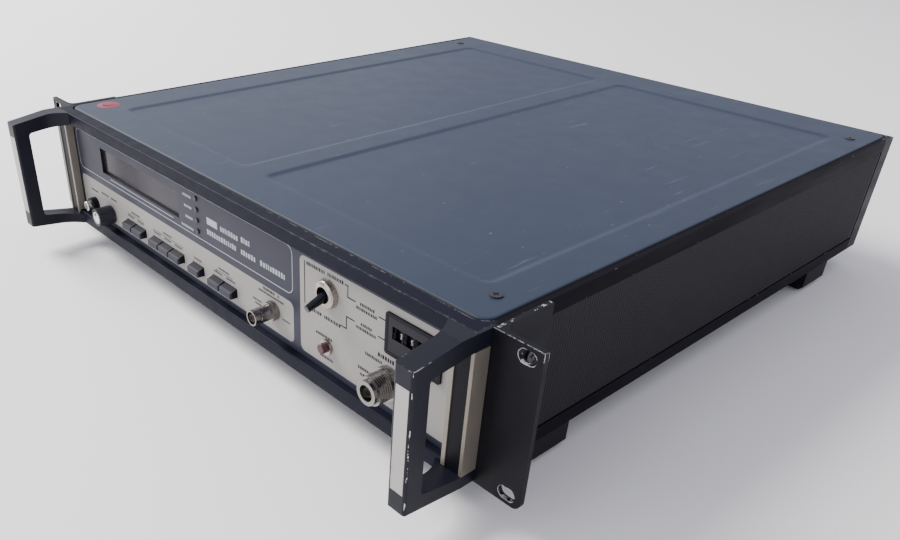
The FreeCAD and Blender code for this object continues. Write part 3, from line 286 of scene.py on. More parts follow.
# ---------------------------------------------------------------- materials
BARE_METAL = (0.62, 0.62, 0.63)
WEAR_RADIUS = 0.8
ORANGE_PEEL = 0.03
TOP_EDGE = -1.0
SLOT_X = 232.55
SLOT_HEIGHTS = (-5.95, -82.15)
SLOT_HALF_WIDTH, SLOT_RADIUS = 5.15, 3.55
EAR_FACE_DEPTH = 0.9
EAR_CORNER_X, EAR_CORNER_Z = 238.5, -5.0
EAR_LEG_OUTSIDE = (213.2, 214.8)
HANDLE_TOP_Z, HANDLE_GRIP_Y = -7.5, -38
HANDLE_CORNER_X, HANDLE_CORNER_Y = 212.3, -47.3


def painted(name, base, roughness, wear, shine, worn_where=None, bare_where=None):
    """Satin paint: faint mottling, orange peel and chips to bare metal along sharp edges."""
    paint = Shader(name)
    mottling = paint.noise(0.03, detail=4)
    darker = tuple(value * 0.86 for value in base)
    lighter = tuple(value * 1.12 for value in base)
    body = paint.mix(mottling, darker, lighter)
    chips = paint.noise(0.22, detail=6, roughness=0.7)
    chance = paint.times(paint.edge(WEAR_RADIUS), paint.remap(chips, wear, wear + 0.04))
    if worn_where is not None:
        chance = paint.times(chance, worn_where(paint))
    if bare_where is not None:
        chance = paint.math("MAXIMUM", chance, bare_where(paint))
    paint.colour(paint.mix(chance, body, BARE_METAL))
    scuffs = paint.noise(0.12, detail=6, stretch=(1, 0.12, 1))
    paint.set(Metallic=chance, Roughness=paint.vary(scuffs, roughness - 0.05, roughness + 0.08))
    paint.shine(shine)
    paint.bump(paint.noise(1.6, detail=2), ORANGE_PEEL)
    return paint.material


def frame_wear(paint):
    """Sparse chips along the top of the front ring's right half."""
    x, _, z = paint.axes()
    return paint.times(paint.above(z, TOP_EDGE), paint.remap(x, -20, 120, 0, 0.9))


def ear_wear(paint):
    """Chips along the top front edge of the right-hand bracket and at its outer corner."""
    x, y, z = paint.axes()
    front = paint.times(paint.above(z, TOP_EDGE), paint.below(y, EAR_FACE_DEPTH))
    corner = paint.times(paint.above(z, EAR_CORNER_Z), paint.above(x, EAR_CORNER_X))
    return paint.times(paint.math("MAXIMUM", front, corner), paint.remap(x, 0, 120, 0.3, 1.0))


def ear_chips(paint):
    """Rubbed slot rims, and bare patches along the top of the right bracket's leg."""
    x, _, z = paint.axes()
    outer = paint.times(paint.within(*EAR_LEG_OUTSIDE, x), paint.above(z, -0.7))
    patch = paint.remap(paint.noise(0.16, detail=6, roughness=0.7), 0.53, 0.55)
    return paint.math("MAXIMUM", slot_rims(paint), paint.times(outer, patch))


def handle_wear(paint):
    """Light wear along the top corners of the right handle."""
    x, y, z = paint.axes()
    corners = paint.times(paint.above(z, HANDLE_TOP_Z), paint.below(y, HANDLE_GRIP_Y))
    return paint.times(corners, paint.remap(x, 0, 120, 0.1, 0.8))


def handle_chips(paint):
    """Bare metal down the outer front corner of the right handle, mostly in its lower half."""
    x, y, z = paint.axes()
    corner = paint.times(paint.above(x, HANDLE_CORNER_X), paint.below(y, HANDLE_CORNER_Y))
    lower = paint.remap(z, -25, -50, 0.0, 0.09)
    patches = paint.noise(0.5, detail=5, stretch=(1, 1, 0.3), roughness=0.6)
    return paint.times(corner, paint.remap(paint.math("ADD", patches, lower), 0.61, 0.63))


def slot_rims(paint):
    """Rubbed metal just round the rack ears' slots and in patches on their walls."""
    x, y, z = paint.axes()
    across = paint.math("ABSOLUTE", x)
    outlines = [paint.rounded_rectangle(across, z, SLOT_X - SLOT_HALF_WIDTH, SLOT_X + SLOT_HALF_WIDTH,
                                        height - SLOT_RADIUS, height + SLOT_RADIUS, SLOT_RADIUS)
                for height in SLOT_HEIGHTS]
    rubbed = paint.noise(0.25, detail=4)
    rim = paint.below(paint.math("MINIMUM", *outlines), paint.remap(rubbed, 0.35, 0.65, -0.12, 0.3))
    near_face = paint.below(y, 0.35)
    patches = paint.remap(rubbed, 0.54, 0.58, 0.0, 0.85)
    return paint.times(rim, paint.math("MAXIMUM", near_face, patches))


def cover_paint():
    """Blue-grey satin enamel with fine peel, faint rubs and a few light scratches, and painted shade on the
    rolled rim.
    """
    paint = Shader("cover_enamel")
    mottling = paint.noise(0.012, detail=5)
    body = paint.mix(mottling, (0.0145, 0.0245, 0.047), (0.0170, 0.0282, 0.0535))
    scratch = paint.remap(paint.noise(0.9, detail=1, stretch=(1, 0.03, 1)), 0.70, 0.74)
    sparse = paint.remap(paint.noise(0.02, detail=2), 0.52, 0.62)
    scratch = paint.times(scratch, sparse, 0.22)
    speck = paint.remap(paint.noise(0.35, detail=0), 0.83, 0.85)
    marks = paint.math("MAXIMUM", scratch, paint.times(speck, 0.3))
    rubbed = paint.mix(marks, body, (0.22, 0.25, 0.30))
    x, y, _ = paint.axes()
    low, high = span("top_cover")
    # Painted shade: the rolled rim is painted near-black, and made rougher, so it doesn't show as a lit
    # line.
    rim = paint.remap(paint.rounded_rectangle(x, y, low.x, high.x, low.y, high.y, 8.0), -1.3, -0.6)
    paint.colour(paint.mix(rim, rubbed, (0.006, 0.009, 0.015)))
    satin = paint.vary(paint.noise(0.05, detail=5), 0.44, 0.49)
    paint.set(Roughness=paint.math("ADD", satin, paint.times(rim, 0.3)))
    paint.shine(0.38)
    paint.bump(paint.noise(1.3, detail=2), ORANGE_PEEL)
    return paint.material


# The panel's printed fields: left, right, low, high.
LEFT_FIELD = (-196.4, 73.4, -73.3, -46.7)
RIGHT_FIELD = (80.0, 196.4, -73.3, -12.8)
FIELD_CORNER = 4.0


def panel_print():
    """Beige fields on a dark ground, with rounded corners, and painted shade on every face behind the
    front.
    """
    ink = Shader("panel_print")
    x, y, z = ink.axes()
    fields = [ink.rounded_rectangle(x, z, *field, FIELD_CORNER) for field in (LEFT_FIELD, RIGHT_FIELD)]
    beige_mask = ink.remap(ink.math("MINIMUM", *fields), 0.1, -0.1)
    grain = ink.noise(0.6, detail=6, stretch=(0.4, 1, 1))
    smudge = ink.noise(0.03, detail=4)
    beige = ink.mix(smudge, (0.268, 0.254, 0.238), (0.30, 0.287, 0.268))
    beige = ink.mix(ink.remap(grain, 0.4, 0.7, 0, 0.15), beige, (0.34, 0.32, 0.298))
    dark = ink.mix(smudge, (0.022, 0.023, 0.038), (0.028, 0.029, 0.046))
    # Painted shade: every face behind the front face, such as the cutouts' walls, is painted near-black for
    # the shade inside the recesses.
    front = ink.below(y, face_y() + 0.1)
    printed = ink.mix(beige_mask, dark, beige)
    ink.colour(ink.mix(front, (0.012, 0.012, 0.014), printed))
    ink.set(Roughness=ink.vary(smudge, 0.36, 0.46))
    ink.shine(0.2)
    ink.bump(ink.noise(2.0, detail=2), 0.015)
    return ink.material


def metal(name, base, roughness, brushed=(1, 1, 1), streak=0.25, metallic=1.0, patches=0.35,
          grain=2.2, depth=0.004):
    """Bare or plated metal with brushing along the squeezed direction and dull patches."""
    steel = Shader(name)
    streaks = steel.noise(grain, detail=4, stretch=brushed)
    patina = steel.noise(0.15, detail=5)
    dull = tuple(value * (1 - streak) for value in base)
    tone = steel.mix(streaks, dull, base)
    stained = tuple(value * 0.6 for value in base)
    steel.colour(steel.mix(steel.remap(patina, 0.55, 0.75, 0, patches), tone, stained))
    steel.set(Metallic=metallic, Roughness=steel.vary(streaks, roughness - 0.06, roughness + 0.1))
    steel.bump(streaks, depth)
    return steel.material


TRIM_STRIP = (201.7, 210.85)


def trim_metal():
    """Brushed champagne extrusion with a black strip between its lip and its fin."""
    trim = Shader("brushed_trim")
    streaks = trim.noise(2.2, detail=4, stretch=(1, 1, 0.04))
    x = trim.axes()[0]
    strip = trim.within(*TRIM_STRIP, trim.math("ABSOLUTE", x))
    bright = trim.mix(streaks, (0.21, 0.185, 0.155), (0.31, 0.28, 0.24))
    trim.colour(trim.mix(strip, bright, (0.004, 0.004, 0.007)))
    trim.set(Metallic=trim.times(trim.math("SUBTRACT", 1.0, strip), 0.6),
             Roughness=trim.vary(streaks, 0.40, 0.54))
    trim.shine(0.12)
    trim.bump(streaks, 0.01)
    return trim.material


def plastic(name, base, roughness, grain=1.2, depth=0.02, shine=0.4):
    """Moulded plastic or print with a fine texture."""
    moulded = Shader(name)
    texture = moulded.noise(grain, detail=3)
    darker = tuple(value * 0.85 for value in base)
    lighter = tuple(value * 1.15 for value in base)
    moulded.colour(moulded.mix(moulded.noise(0.06, detail=4), darker, lighter))
    moulded.set(Roughness=moulded.vary(texture, roughness - 0.05, roughness + 0.08))
    moulded.shine(shine)
    moulded.bump(texture, depth)
    return moulded.material


def button_plastic():
    """Charcoal key caps with a painted reflection: their front faces are painted paler."""
    cap = Shader("button_plastic")
    y = cap.axes()[1]
    front = cap.below(y, span("push_button_1")[0].y + 1.6)
    texture = cap.noise(1.2, detail=3)
    sides = cap.mix(texture, (0.008, 0.008, 0.014), (0.012, 0.012, 0.019))
    # Painted reflection: the caps' front faces are painted paler, for the bright floor they reflect.
    cap.colour(cap.mix(front, sides, (0.040, 0.040, 0.052)))
    cap.set(Roughness=cap.vary(texture, 0.38, 0.46))
    cap.shine(0.08)
    cap.bump(texture, 0.02)
    return cap.material


def board_material():
    """Green circuit board with a pattern of lighter tracks and dark parts."""
    board = Shader("circuit_board")
    brick = board.node("ShaderNodeTexBrick")
    board.feed(brick.inputs["Vector"], board.place())
    brick.inputs["Scale"].default_value = 0.12
    brick.inputs["Color1"].default_value = (0.03, 0.12, 0.05, 1)
    brick.inputs["Color2"].default_value = (0.04, 0.15, 0.06, 1)
    brick.inputs["Mortar"].default_value = (0.10, 0.25, 0.10, 1)
    board.colour(brick.outputs["Color"])
    board.set(Roughness=0.45)
    board.bump(board.noise(0.8), 0.05)
    return board.material


def window_material():
    """Brownish tinted acrylic over a dark interior."""
    pane = Shader("tinted_acrylic")
    haze = pane.noise(0.02, detail=3, stretch=(1, 1, 0.3))
    pane.colour(pane.mix(haze, (0.016, 0.012, 0.020), (0.026, 0.020, 0.030)))
    pane.set(Roughness=pane.vary(haze, 0.18, 0.28))
    pane.shine(0.2)
    pane.bump(pane.noise(0.05), 0.02)
    return pane.material


# ---------------------------------------------------------------- mesh building blocks
SHARP_ANGLE = math.radians(35)


def add_mesh(name, bm, body, material, smooth=True):
    """Turn a bmesh in millimetres from the datum into a piece on a body."""
    bmesh.ops.recalc_face_normals(bm, faces=bm.faces)
    mesh = bpy.data.meshes.new(name)
    bm.to_mesh(mesh)
    bm.free()
    mesh.transform(Matrix.Translation(DATUM) @ Matrix.Scale(MM, 4))
    piece = bpy.data.objects.new(name, mesh)
    bpy.context.scene.collection.objects.link(piece)
    mesh.materials.append(material)
    if smooth:
        for face in mesh.polygons:
            face.use_smooth = True
        mesh.set_sharp_from_angle(angle=SHARP_ANGLE)
    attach(piece, body)
    return piece


def add_block(bm, x, y, z, width, depth, height):
    """A block from its left, front, bottom corner."""
    corners = [bm.verts.new((x + i * width, y + j * depth, z + k * height))
               for i in (0, 1) for j in (0, 1) for k in (0, 1)]
    for face in ((0, 1, 3, 2), (4, 6, 7, 5), (0, 4, 5, 1), (2, 3, 7, 6), (0, 2, 6, 4), (1, 5, 7, 3)):
        bm.faces.new([corners[number] for number in face])


def middle_of(low, high):
    """Middle of a span across and up."""
    return (low.x + high.x) / 2, (low.z + high.z) / 2


def add_lathe(bm, centre, outline, steps):
    """Turn an outline of (radius, y) points about a line along Y through the centre."""
    x, y, z = centre
    rings = []
    for radius, along in outline:
        if radius < 1e-6:
            rings.append([bm.verts.new((x, y + along, z))])
            continue
        rings.append([bm.verts.new((x + radius * math.cos(2 * math.pi * k / steps), y + along,
                                    z + radius * math.sin(2 * math.pi * k / steps))) for k in range(steps)])
    for first, second in zip(rings, rings[1:]):
        for k in range(steps):
            ends = [first[k % len(first)], first[(k + 1) % len(first)],
                    second[(k + 1) % len(second)], second[k % len(second)]]
            loop = list(dict.fromkeys(ends))
            if len(loop) > 2:
                bm.faces.new(loop)


# ---------------------------------------------------------------- pieces: covers and sides
def smooth_step(value):
    value = min(max(value, 0.0), 1.0)
    return value * value * (3 - 2 * value)


FINE_STEP, COARSE_STEP = 1.1, 14
FINE_ZONE = 9.0


def spread(marks):
    """Grid lines from the first mark to the last: close together near marks."""
    lines = []
    for low, high in zip(marks, marks[1:]):
        edge_zone = min(FINE_ZONE, (high - low) / 2)
        count = max(1, round(edge_zone / FINE_STEP))
        rising = [low + edge_zone * k / count for k in range(count)]
        plain = high - low - 2 * edge_zone
        plain_count = max(1, round(plain / COARSE_STEP))
        middle = [low + edge_zone + plain * k / plain_count for k in range(plain_count)]
        falling = [high - edge_zone + edge_zone * k / count for k in range(count)]
        lines += rising + middle + falling
    return lines + [marks[-1]]


EMBOSS_DEPTH = 1.0
EMBOSS_SLOPE = 5.0
EMBOSS_CORNER = 6.0
EMBOSS_FIELDS = ((-175, -21, 29, 405.5), (2, 184, 29, 405.5))
COVER_ROLL = 1.8
ROLL_STEPS = 6
FRONT_CORNER, BACK_CORNER = 7.2, 2.2


def emboss(x, y):
    """Depth of the pressed fields at a point of the cover."""
    depth = 0.0
    for left, right, front, back in EMBOSS_FIELDS:
        dx = abs(x - (left + right) / 2) - ((right - left) / 2 - EMBOSS_CORNER)
        dy = abs(y - (front + back) / 2) - ((back - front) / 2 - EMBOSS_CORNER)
        distance = math.hypot(max(dx, 0), max(dy, 0)) + min(max(dx, dy), 0) - EMBOSS_CORNER
        depth = max(depth, EMBOSS_DEPTH * smooth_step(0.5 - distance / EMBOSS_SLOPE))
    return depth


def corner_at(dy):
    """Corner radius of the cover's flat top, wide at the front and tight at the back."""
    return FRONT_CORNER if dy < 0 else BACK_CORNER


def beyond_corner(dx, dy, half):
    """How far a point lies past the centre of the nearest rounded corner."""
    corner = corner_at(dy)
    return max(abs(dx) - (half[0] - corner), 0), max(abs(dy) - (half[1] - corner), 0)


def make_cover(enamel):
    """Pressed top cover with soft-edged fields, rounded corners and a rolled rim."""
    low, high = span("top_cover")
    bm = bmesh.new()
    sides = sorted({edge for field in EMBOSS_FIELDS for edge in field[:2]})
    x_lines = spread([low.x + COVER_ROLL, *sides, high.x - COVER_ROLL])
    y_lines = spread([low.y + COVER_ROLL, *EMBOSS_FIELDS[0][2:], high.y - COVER_ROLL])
    centre = ((low.x + high.x) / 2, (low.y + high.y) / 2)
    half = ((high.x - low.x) / 2 - COVER_ROLL, (high.y - low.y) / 2 - COVER_ROLL)

    def rounded(x, y):
        """Pull the grid's corners in to the cover's corner radius."""
        dx = x - centre[0]
        dy = y - centre[1]
        corner = corner_at(dy)
        over_x, over_y = beyond_corner(dx, dy, half)
        if over_x > 0 and over_y > 0:
            scale = max(over_x, over_y) / math.hypot(over_x, over_y)
            dx = math.copysign(half[0] - corner + over_x * scale, dx)
            dy = math.copysign(half[1] - corner + over_y * scale, dy)
        return centre[0] + dx, centre[1] + dy

    grid = []
    for y in y_lines:
        row = []
        for x in x_lines:
            px, py = rounded(x, y)
            row.append(bm.verts.new((px, py, high.z - emboss(px, py))))
        grid.append(row)
    for j in range(len(y_lines) - 1):
        for i in range(len(x_lines) - 1):
            bm.faces.new((grid[j][i], grid[j][i + 1], grid[j + 1][i + 1], grid[j + 1][i]))
    rim = grid[0] + [row[-1] for row in grid[1:]] + grid[-1][-2::-1] + [row[0] for row in grid[-2:0:-1]]
    previous = rim
    for step in range(1, ROLL_STEPS + 1):
        angle = math.pi / 2 * step / ROLL_STEPS
        previous = extend_rim(bm, rim, previous, centre, half, COVER_ROLL * math.sin(angle),
                              high.z - COVER_ROLL * (1 - math.cos(angle)))
    previous = extend_rim(bm, rim, previous, centre, half, COVER_ROLL, low.z)
    bm.faces.new(list(reversed(previous)))
    cover = add_mesh("pressed_top_cover", bm, "cabinet", enamel)
    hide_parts("top_cover")


def extend_rim(bm, rim, previous, centre, half, reach, z):
    """One more loop of the cover's rolled rim, pushed out square to the outline."""
    loop = []
    for vertex in rim:
        dx = vertex.co.x - centre[0]
        dy = vertex.co.y - centre[1]
        over_x, over_y = beyond_corner(dx, dy, half)
        length = math.hypot(over_x, over_y)
        loop.append(bm.verts.new((vertex.co.x + math.copysign(over_x / length * reach, dx),
                                  vertex.co.y + math.copysign(over_y / length * reach, dy), z)))
    count = len(rim)
    for k in range(count):
        bm.faces.new((previous[k], previous[(k + 1) % count], loop[(k + 1) % count], loop[k]))
    return loop


RIB_PITCH = 2.2
RIB_DEPTH = 0.22
RIB_PROFILE = ((0.2, 0.0), (0.35, 1.0), (0.85, 1.0), (1.0, 0.0))
INSERT_MARGIN = 2.0
INSERT_CHAMFER = 0.3
INSERT_LIP_HEIGHT, INSERT_LIP_DEPTH = 0.4, 0.35


def make_ribbed_insert(side, vinyl):
    """Vinyl side insert with fine upright ribs."""
    name = f"{side}_side_insert"
    low, high = span(name)
    outer = high.x if side == "right" else low.x
    inner = low.x if side == "right" else high.x
    inward = -1 if side == "right" else 1
    bm = bmesh.new()
    count = int((high.y - low.y - 2 * INSERT_MARGIN) / RIB_PITCH)
    start = (low.y + high.y - count * RIB_PITCH) / 2
    section = [(low.y, INSERT_CHAMFER), (low.y + INSERT_CHAMFER, 0.0), (start, 0.0)]
    for rib in range(count):
        for share, depth in RIB_PROFILE:
            section.append((start + (rib + share) * RIB_PITCH, depth * RIB_DEPTH))
    section += [(high.y - INSERT_CHAMFER, 0.0), (high.y, INSERT_CHAMFER)]
    levels = (low.z, low.z + INSERT_LIP_HEIGHT, high.z - INSERT_LIP_HEIGHT, high.z)
    columns = []
    for y, depth in section:
        depths = (INSERT_LIP_DEPTH, depth, depth, INSERT_LIP_DEPTH)
        columns.append([bm.verts.new((outer + inward * sunk, y, z)) for sunk, z in zip(depths, levels)])
    for first, second in zip(columns, columns[1:]):
        for k in range(len(levels) - 1):
            bm.faces.new((first[k], second[k], second[k + 1], first[k + 1]))
    back = [[bm.verts.new((inner, y, z)) for z in (low.z, high.z)] for y in (low.y, high.y)]
    bottom = [column[0] for column in columns]
    top = [column[-1] for column in columns]
    bm.faces.new(bottom + [back[1][0], back[0][0]])
    bm.faces.new(list(reversed(top)) + [back[0][1], back[1][1]])
    bm.faces.new(columns[0] + [back[0][1], back[0][0]])
    bm.faces.new(list(reversed(columns[-1])) + [back[1][0], back[1][1]])
    bm.faces.new((back[0][0], back[1][0], back[1][1], back[0][1]))
    bmesh.ops.triangulate(bm, faces=[face for face in bm.faces if len(face.verts) > 4])
    insert = add_mesh(f"{side}_ribbed_insert", bm, "cabinet", vinyl, smooth=False)
    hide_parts(name)


SEAL_PLACE = (-194.5, 23.6)
SEAL_RADIUS = 8.5
SEAL_STEPS = 48


def make_sticker():
    """Plain red seal pressed over the front left screw of the cover."""
    red = plastic("red_seal", (0.27, 0.045, 0.07), 0.5, shine=0.2, grain=0.8, depth=0.01)
    low, high = span("top_cover")
    screw_top = span("case_screws")[1].z
    bm = bmesh.new()
    outline = [(0.0, screw_top + 0.12), (2.4, screw_top + 0.12), (3.9, screw_top - 0.15),
               (5.4, high.z + 0.14), (SEAL_RADIUS - 0.15, high.z + 0.08), (SEAL_RADIUS, high.z + 0.01)]
    rings = []
    for radius, height in outline:
        count = SEAL_STEPS if radius > 0 else 1
        ring = []
        for k in range(count):
            angle = 2 * math.pi * k / count
            ring.append(bm.verts.new((SEAL_PLACE[0] + radius * math.cos(angle),
                                      SEAL_PLACE[1] + radius * math.sin(angle), height)))
        rings.append(ring)
    for first, second in zip(rings, rings[1:]):
        for k in range(SEAL_STEPS):
            loop = [first[k % len(first)], second[k], second[(k + 1) % SEAL_STEPS],
                    first[(k + 1) % len(first)]]
            bm.faces.new(list(dict.fromkeys(loop)))
    add_mesh("seal_sticker", bm, "cabinet", red)


# ---------------------------------------------------------------- pieces: printing
INK_THICK = 0.04
STROKE_WIDTHS = (0.32, 0.45, 0.55)
STROKE_RISES = (1.0, 1.0, 0.9)
STROKE_GAP = 0.26
LEAST_REST = 0.3


def face_y():
    return span("front_panel")[0].y


def add_word(bm, draw, x, z, length, height, y):
    """A word's worth of plain ticks that say nothing."""
    reached = 0.0
    while reached < length - LEAST_REST * height:
        width = draw.choice(STROKE_WIDTHS) * height
        rise = height * draw.choice(STROKE_RISES)
        add_block(bm, x + reached, y - INK_THICK, z, width, INK_THICK, rise)
        reached += width + STROKE_GAP * height


def add_line(bm, points, width, y):
    """A printed line through (x, z) points, upright or level stretches only."""
    for (x0, z0), (x1, z1) in zip(points, points[1:]):
        left, right = sorted((x0, x1))
        low, high = sorted((z0, z1))
        add_block(bm, left - width / 2, y - INK_THICK, low - width / 2,
                  right - left + width, INK_THICK, high - low + width)


OUTLINE_CORNER_STEPS = 8


def add_round_outline(bm, left, right, low, high, radius, width, y):
    """A printed line round a rectangle with rounded corners."""
    points = []
    for cx, cz, first in ((right - radius, high - radius, 0), (left + radius, high - radius, 90),
                          (left + radius, low + radius, 180), (right - radius, low + radius, 270)):
        for k in range(OUTLINE_CORNER_STEPS + 1):
            angle = math.radians(first + 90 * k / OUTLINE_CORNER_STEPS)
            points.append(((cx, cz), angle))
    rings = []
    for offset in (width / 2, -width / 2):
        for depth in (0, -INK_THICK):
            rings.append([bm.verts.new((c[0] + (radius + offset) * math.cos(a), y + depth,
                                        c[1] + (radius + offset) * math.sin(a))) for c, a in points])
    outer_back, outer_front, inner_back, inner_front = rings
    count = len(points)
    for k in range(count):
        n = (k + 1) % count
        bm.faces.new((outer_front[k], outer_front[n], inner_front[n], inner_front[k]))
        bm.faces.new((outer_back[k], outer_back[n], outer_front[n], outer_front[k]))
        bm.faces.new((inner_back[k], inner_back[n], inner_front[n], inner_front[k]))


# Left, right, low and high side of the display field's outline, its corner radius and line width.
DISPLAY_OUTLINE = (-196.0, 73.0, -41.5, -11.6, 5.0, 0.5)
DISPLAY_RULE = ((-147, -38.3), (-58, -38.3))
LAMP_WORD_LENGTHS = (10.5, 9.5, 9.0, 15)
LAMP_WORDS_RIGHT, LAMP_WORDS_TOP, LAMP_WORDS_PITCH = -32.0, -17.3, 7.3
# Words are given as left end, foot, length and height, in millimetres across and up the panel.
TITLE_BLOCK = (-15.1, -28.1, 11.8, 4.6)
TITLE_WORDS = ((0.2, -27.8, 19.5, 3.5), (22.6, -27.0, 8.8, 3.5), (-15.6, -35.1, 33.4, 3.5),
               (22.0, -35.0, 16.6, 3.5), (41.8, -34.9, 25.0, 3.5))
MODE_WORDS = ((86.0, -17.2, 15.7, 2.1), (104.0, -17.0, 13.4, 2.1), (130.3, -23.3, 10.8, 1.8),
              (127.5, -26.2, 16.2, 1.8), (131.3, -34.7, 8.5, 1.8), (127.5, -37.5, 16.4, 1.8),
              (90.5, -43.8, 8.5, 2.1), (101.3, -43.8, 13.2, 2.1))
MODE_LINES = (((84.2, -41.4), (84.2, -15.6)),
              ((118.4, -16.2), (120.6, -16.2), (120.6, -22.7), (126.6, -22.7)),
              ((144.9, -23.6), (149.3, -23.6)),
              ((115.3, -41.8), (119.9, -41.8), (119.9, -34.4), (126.1, -34.4)),
              ((144.9, -34.9), (149.3, -34.9)))
INPUT_WORDS = ((145.2, -46.4, 12.5, 2.4), (160.0, -46.4, 2.2, 2.4), (135.4, -50.2, 12.8, 1.9),
               (130.1, -61.1, 11.0, 1.8), (131.8, -64.9, 8.8, 1.8), (43.7, -49.4, 12.5, 1.8),
               (58.0, -49.4, 1.8, 1.8), (39.0, -51.9, 25.0, 1.5), (32.4, -60.2, 9.5, 1.3),
               (34.4, -62.7, 7.0, 1.3), (62.4, -62.2, 8.0, 1.1))
BUTTON_GROUPS = ((-124, -103), (-88, -49), (-8, 10))
GROUP_LINE_LOW, GROUP_LINE_HIGH = -58.1, -56.7
MODE_LINE_WIDTH, GROUP_LINE_WIDTH = 0.7, 0.35
SCALE_STEPS, SCALE_START, SCALE_STEP = 11, -60, 30
SCALE_RADIUS = 9.4
SCALE_DOT = 0.5


def print_display(bm, draw, y):
    """Light printing: the display field's outline, its legends and the title block."""
    add_round_outline(bm, *DISPLAY_OUTLINE, y)
    for number, length in enumerate(LAMP_WORD_LENGTHS):
        add_word(bm, draw, LAMP_WORDS_RIGHT - length, LAMP_WORDS_TOP - LAMP_WORDS_PITCH * number,
                 length, 1.7, y)
    add_line(bm, DISPLAY_RULE, 0.5, y)
    left, foot, length, height = TITLE_BLOCK
    add_block(bm, left, y - INK_THICK, foot, length, INK_THICK, height)
    for word in TITLE_WORDS:
        add_word(bm, draw, *word, y)


def print_fields(bm, draw, y):
    """Dark printing on the beige fields: legends, brackets and the knob's scale."""
    for word in MODE_WORDS:
        add_word(bm, draw, *word, y)
    for points in MODE_LINES:
        add_line(bm, points, MODE_LINE_WIDTH, y)
    lamp_low, lamp_high = span("lamp_bezel")
    lamp_x = (lamp_low.x + lamp_high.x) / 2
    add_word(bm, draw, lamp_x - 10, lamp_high.z, 14.5, 1.8, y)
    add_word(bm, draw, lamp_x - 6.6, lamp_low.z - 4.4, 11.5, 1.8, y)
    for word in INPUT_WORDS:
        add_word(bm, draw, *word, y)
    for number in range(1, 9):
        low, high = span(f"push_button_{number}")
        add_word(bm, draw, low.x + 1.5, high.z + 3.0, 9.5, 1.3, y)
    for left, right in BUTTON_GROUPS:
        add_line(bm, ((left, GROUP_LINE_LOW), (left, GROUP_LINE_HIGH), (right, GROUP_LINE_HIGH),
                      (right, GROUP_LINE_LOW)), GROUP_LINE_WIDTH, y)
        add_word(bm, draw, (left + right) / 2 - 6, -55.3, 12, 1.4, y)
    knob_x, knob_z = middle_of(*span("rate_knob"))
    add_word(bm, draw, knob_x - 14, -54.5, 12, 1.4, y)
    add_word(bm, draw, knob_x + 1, -54.5, 9, 1.4, y)
    for step in range(SCALE_STEPS):
        angle = math.radians(SCALE_START + SCALE_STEP * step)
        add_block(bm, knob_x + SCALE_RADIUS * math.cos(angle) - SCALE_DOT / 2, y - INK_THICK,
                  knob_z + SCALE_RADIUS * math.sin(angle) - SCALE_DOT / 2, SCALE_DOT, INK_THICK, SCALE_DOT)
    add_word(bm, draw, span("power_button")[0].x - 1, -56.4, 11, 1.4, y)


def make_printing():
    """Panel printing: every legend is plain ticks, and only lines and dots are drawn as they are."""
    draw = random.Random(1)
    light = plastic("ink_light", (0.36, 0.37, 0.40), 0.5, depth=0.005)
    black = plastic("ink_black", (0.005, 0.005, 0.008), 0.5, depth=0.005, shine=0.1)
    for name, fill, ink in (("panel_printing_light", print_display, light),
                            ("panel_printing_dark", print_fields, black)):
        bm = bmesh.new()
        fill(bm, draw, face_y())
        add_mesh(name, bm, "cabinet", ink, smooth=False)


# ---------------------------------------------------------------- pieces: controls
# Turned outlines are (radius, y) points, y counted from the front of the CAD node they sit on.
KNOB_CAP_OUTLINE = ((0, 0.22), (3.3, 0.22), (3.6, 0.30), (3.9, 0.12), (4.5, 0.10), (4.8, 0.3), (4.8, 0.78))
TOGGLE_RING_OUTLINE = ((6.95, 0.03), (6.7, -0.12), (6.3, -0.34), (5.8, -0.55), (5.3, -0.66),
                       (4.95, -0.68), (4.75, -0.6), (4.68, -0.4), (4.68, 0.03))


def make_front_ring(name, node, outline, body, material):
    """Turned piece on the front of a CAD node."""
    low, high = span(node)
    x, z = middle_of(low, high)
    bm = bmesh.new()
    add_lathe(bm, (x, low.y, z), outline, steps=64)
    add_mesh(name, bm, body, material)


# Socket, bore and outer radius of its insulator, and how deep the insulator's face lies.
INSULATORS = (("n_input", 1.7, 3.4, 7.2), ("bnc_input", 1.3, 2.6, 4.2))
INSULATOR_LENGTH = 4.2
INSULATOR_CHAMFER = 0.2


def make_insulators():
    """Cream insulators inside the coaxial sockets."""
    teflon = plastic("insulator", (0.70, 0.66, 0.56), 0.5, depth=0.01)
    bm = bmesh.new()
    for name, inner, outer, depth in INSULATORS:
        low, high = span(name)
        x, z = middle_of(low, high)
        add_lathe(bm, (x, low.y + depth, z),
                  [(inner, INSULATOR_LENGTH), (inner, INSULATOR_CHAMFER), (inner + INSULATOR_CHAMFER, 0),
                   (outer - INSULATOR_CHAMFER, 0), (outer, INSULATOR_CHAMFER), (outer, INSULATOR_LENGTH),
                   (inner, INSULATOR_LENGTH)], steps=40)
    add_mesh("socket_insulators", bm, "cabinet", teflon)


WHEELS = range(1, 5)
DIGIT_HEIGHT = 3.0
# Height of a digit as a share of the font's size.
DIGIT_SHARE = 0.7
DIGIT_SQUEEZE = 0.8
DIGIT_THICK = 0.05
DIGIT_LIFT = 0.06
DIGITS_SHOWN = (3, 5, 0, 2)
WHEEL_RIM_WIDTH = 1.8
WHEEL_DRUM_MIDDLE = 2.2
WHEEL_DRUM_DEPTH = 1.6


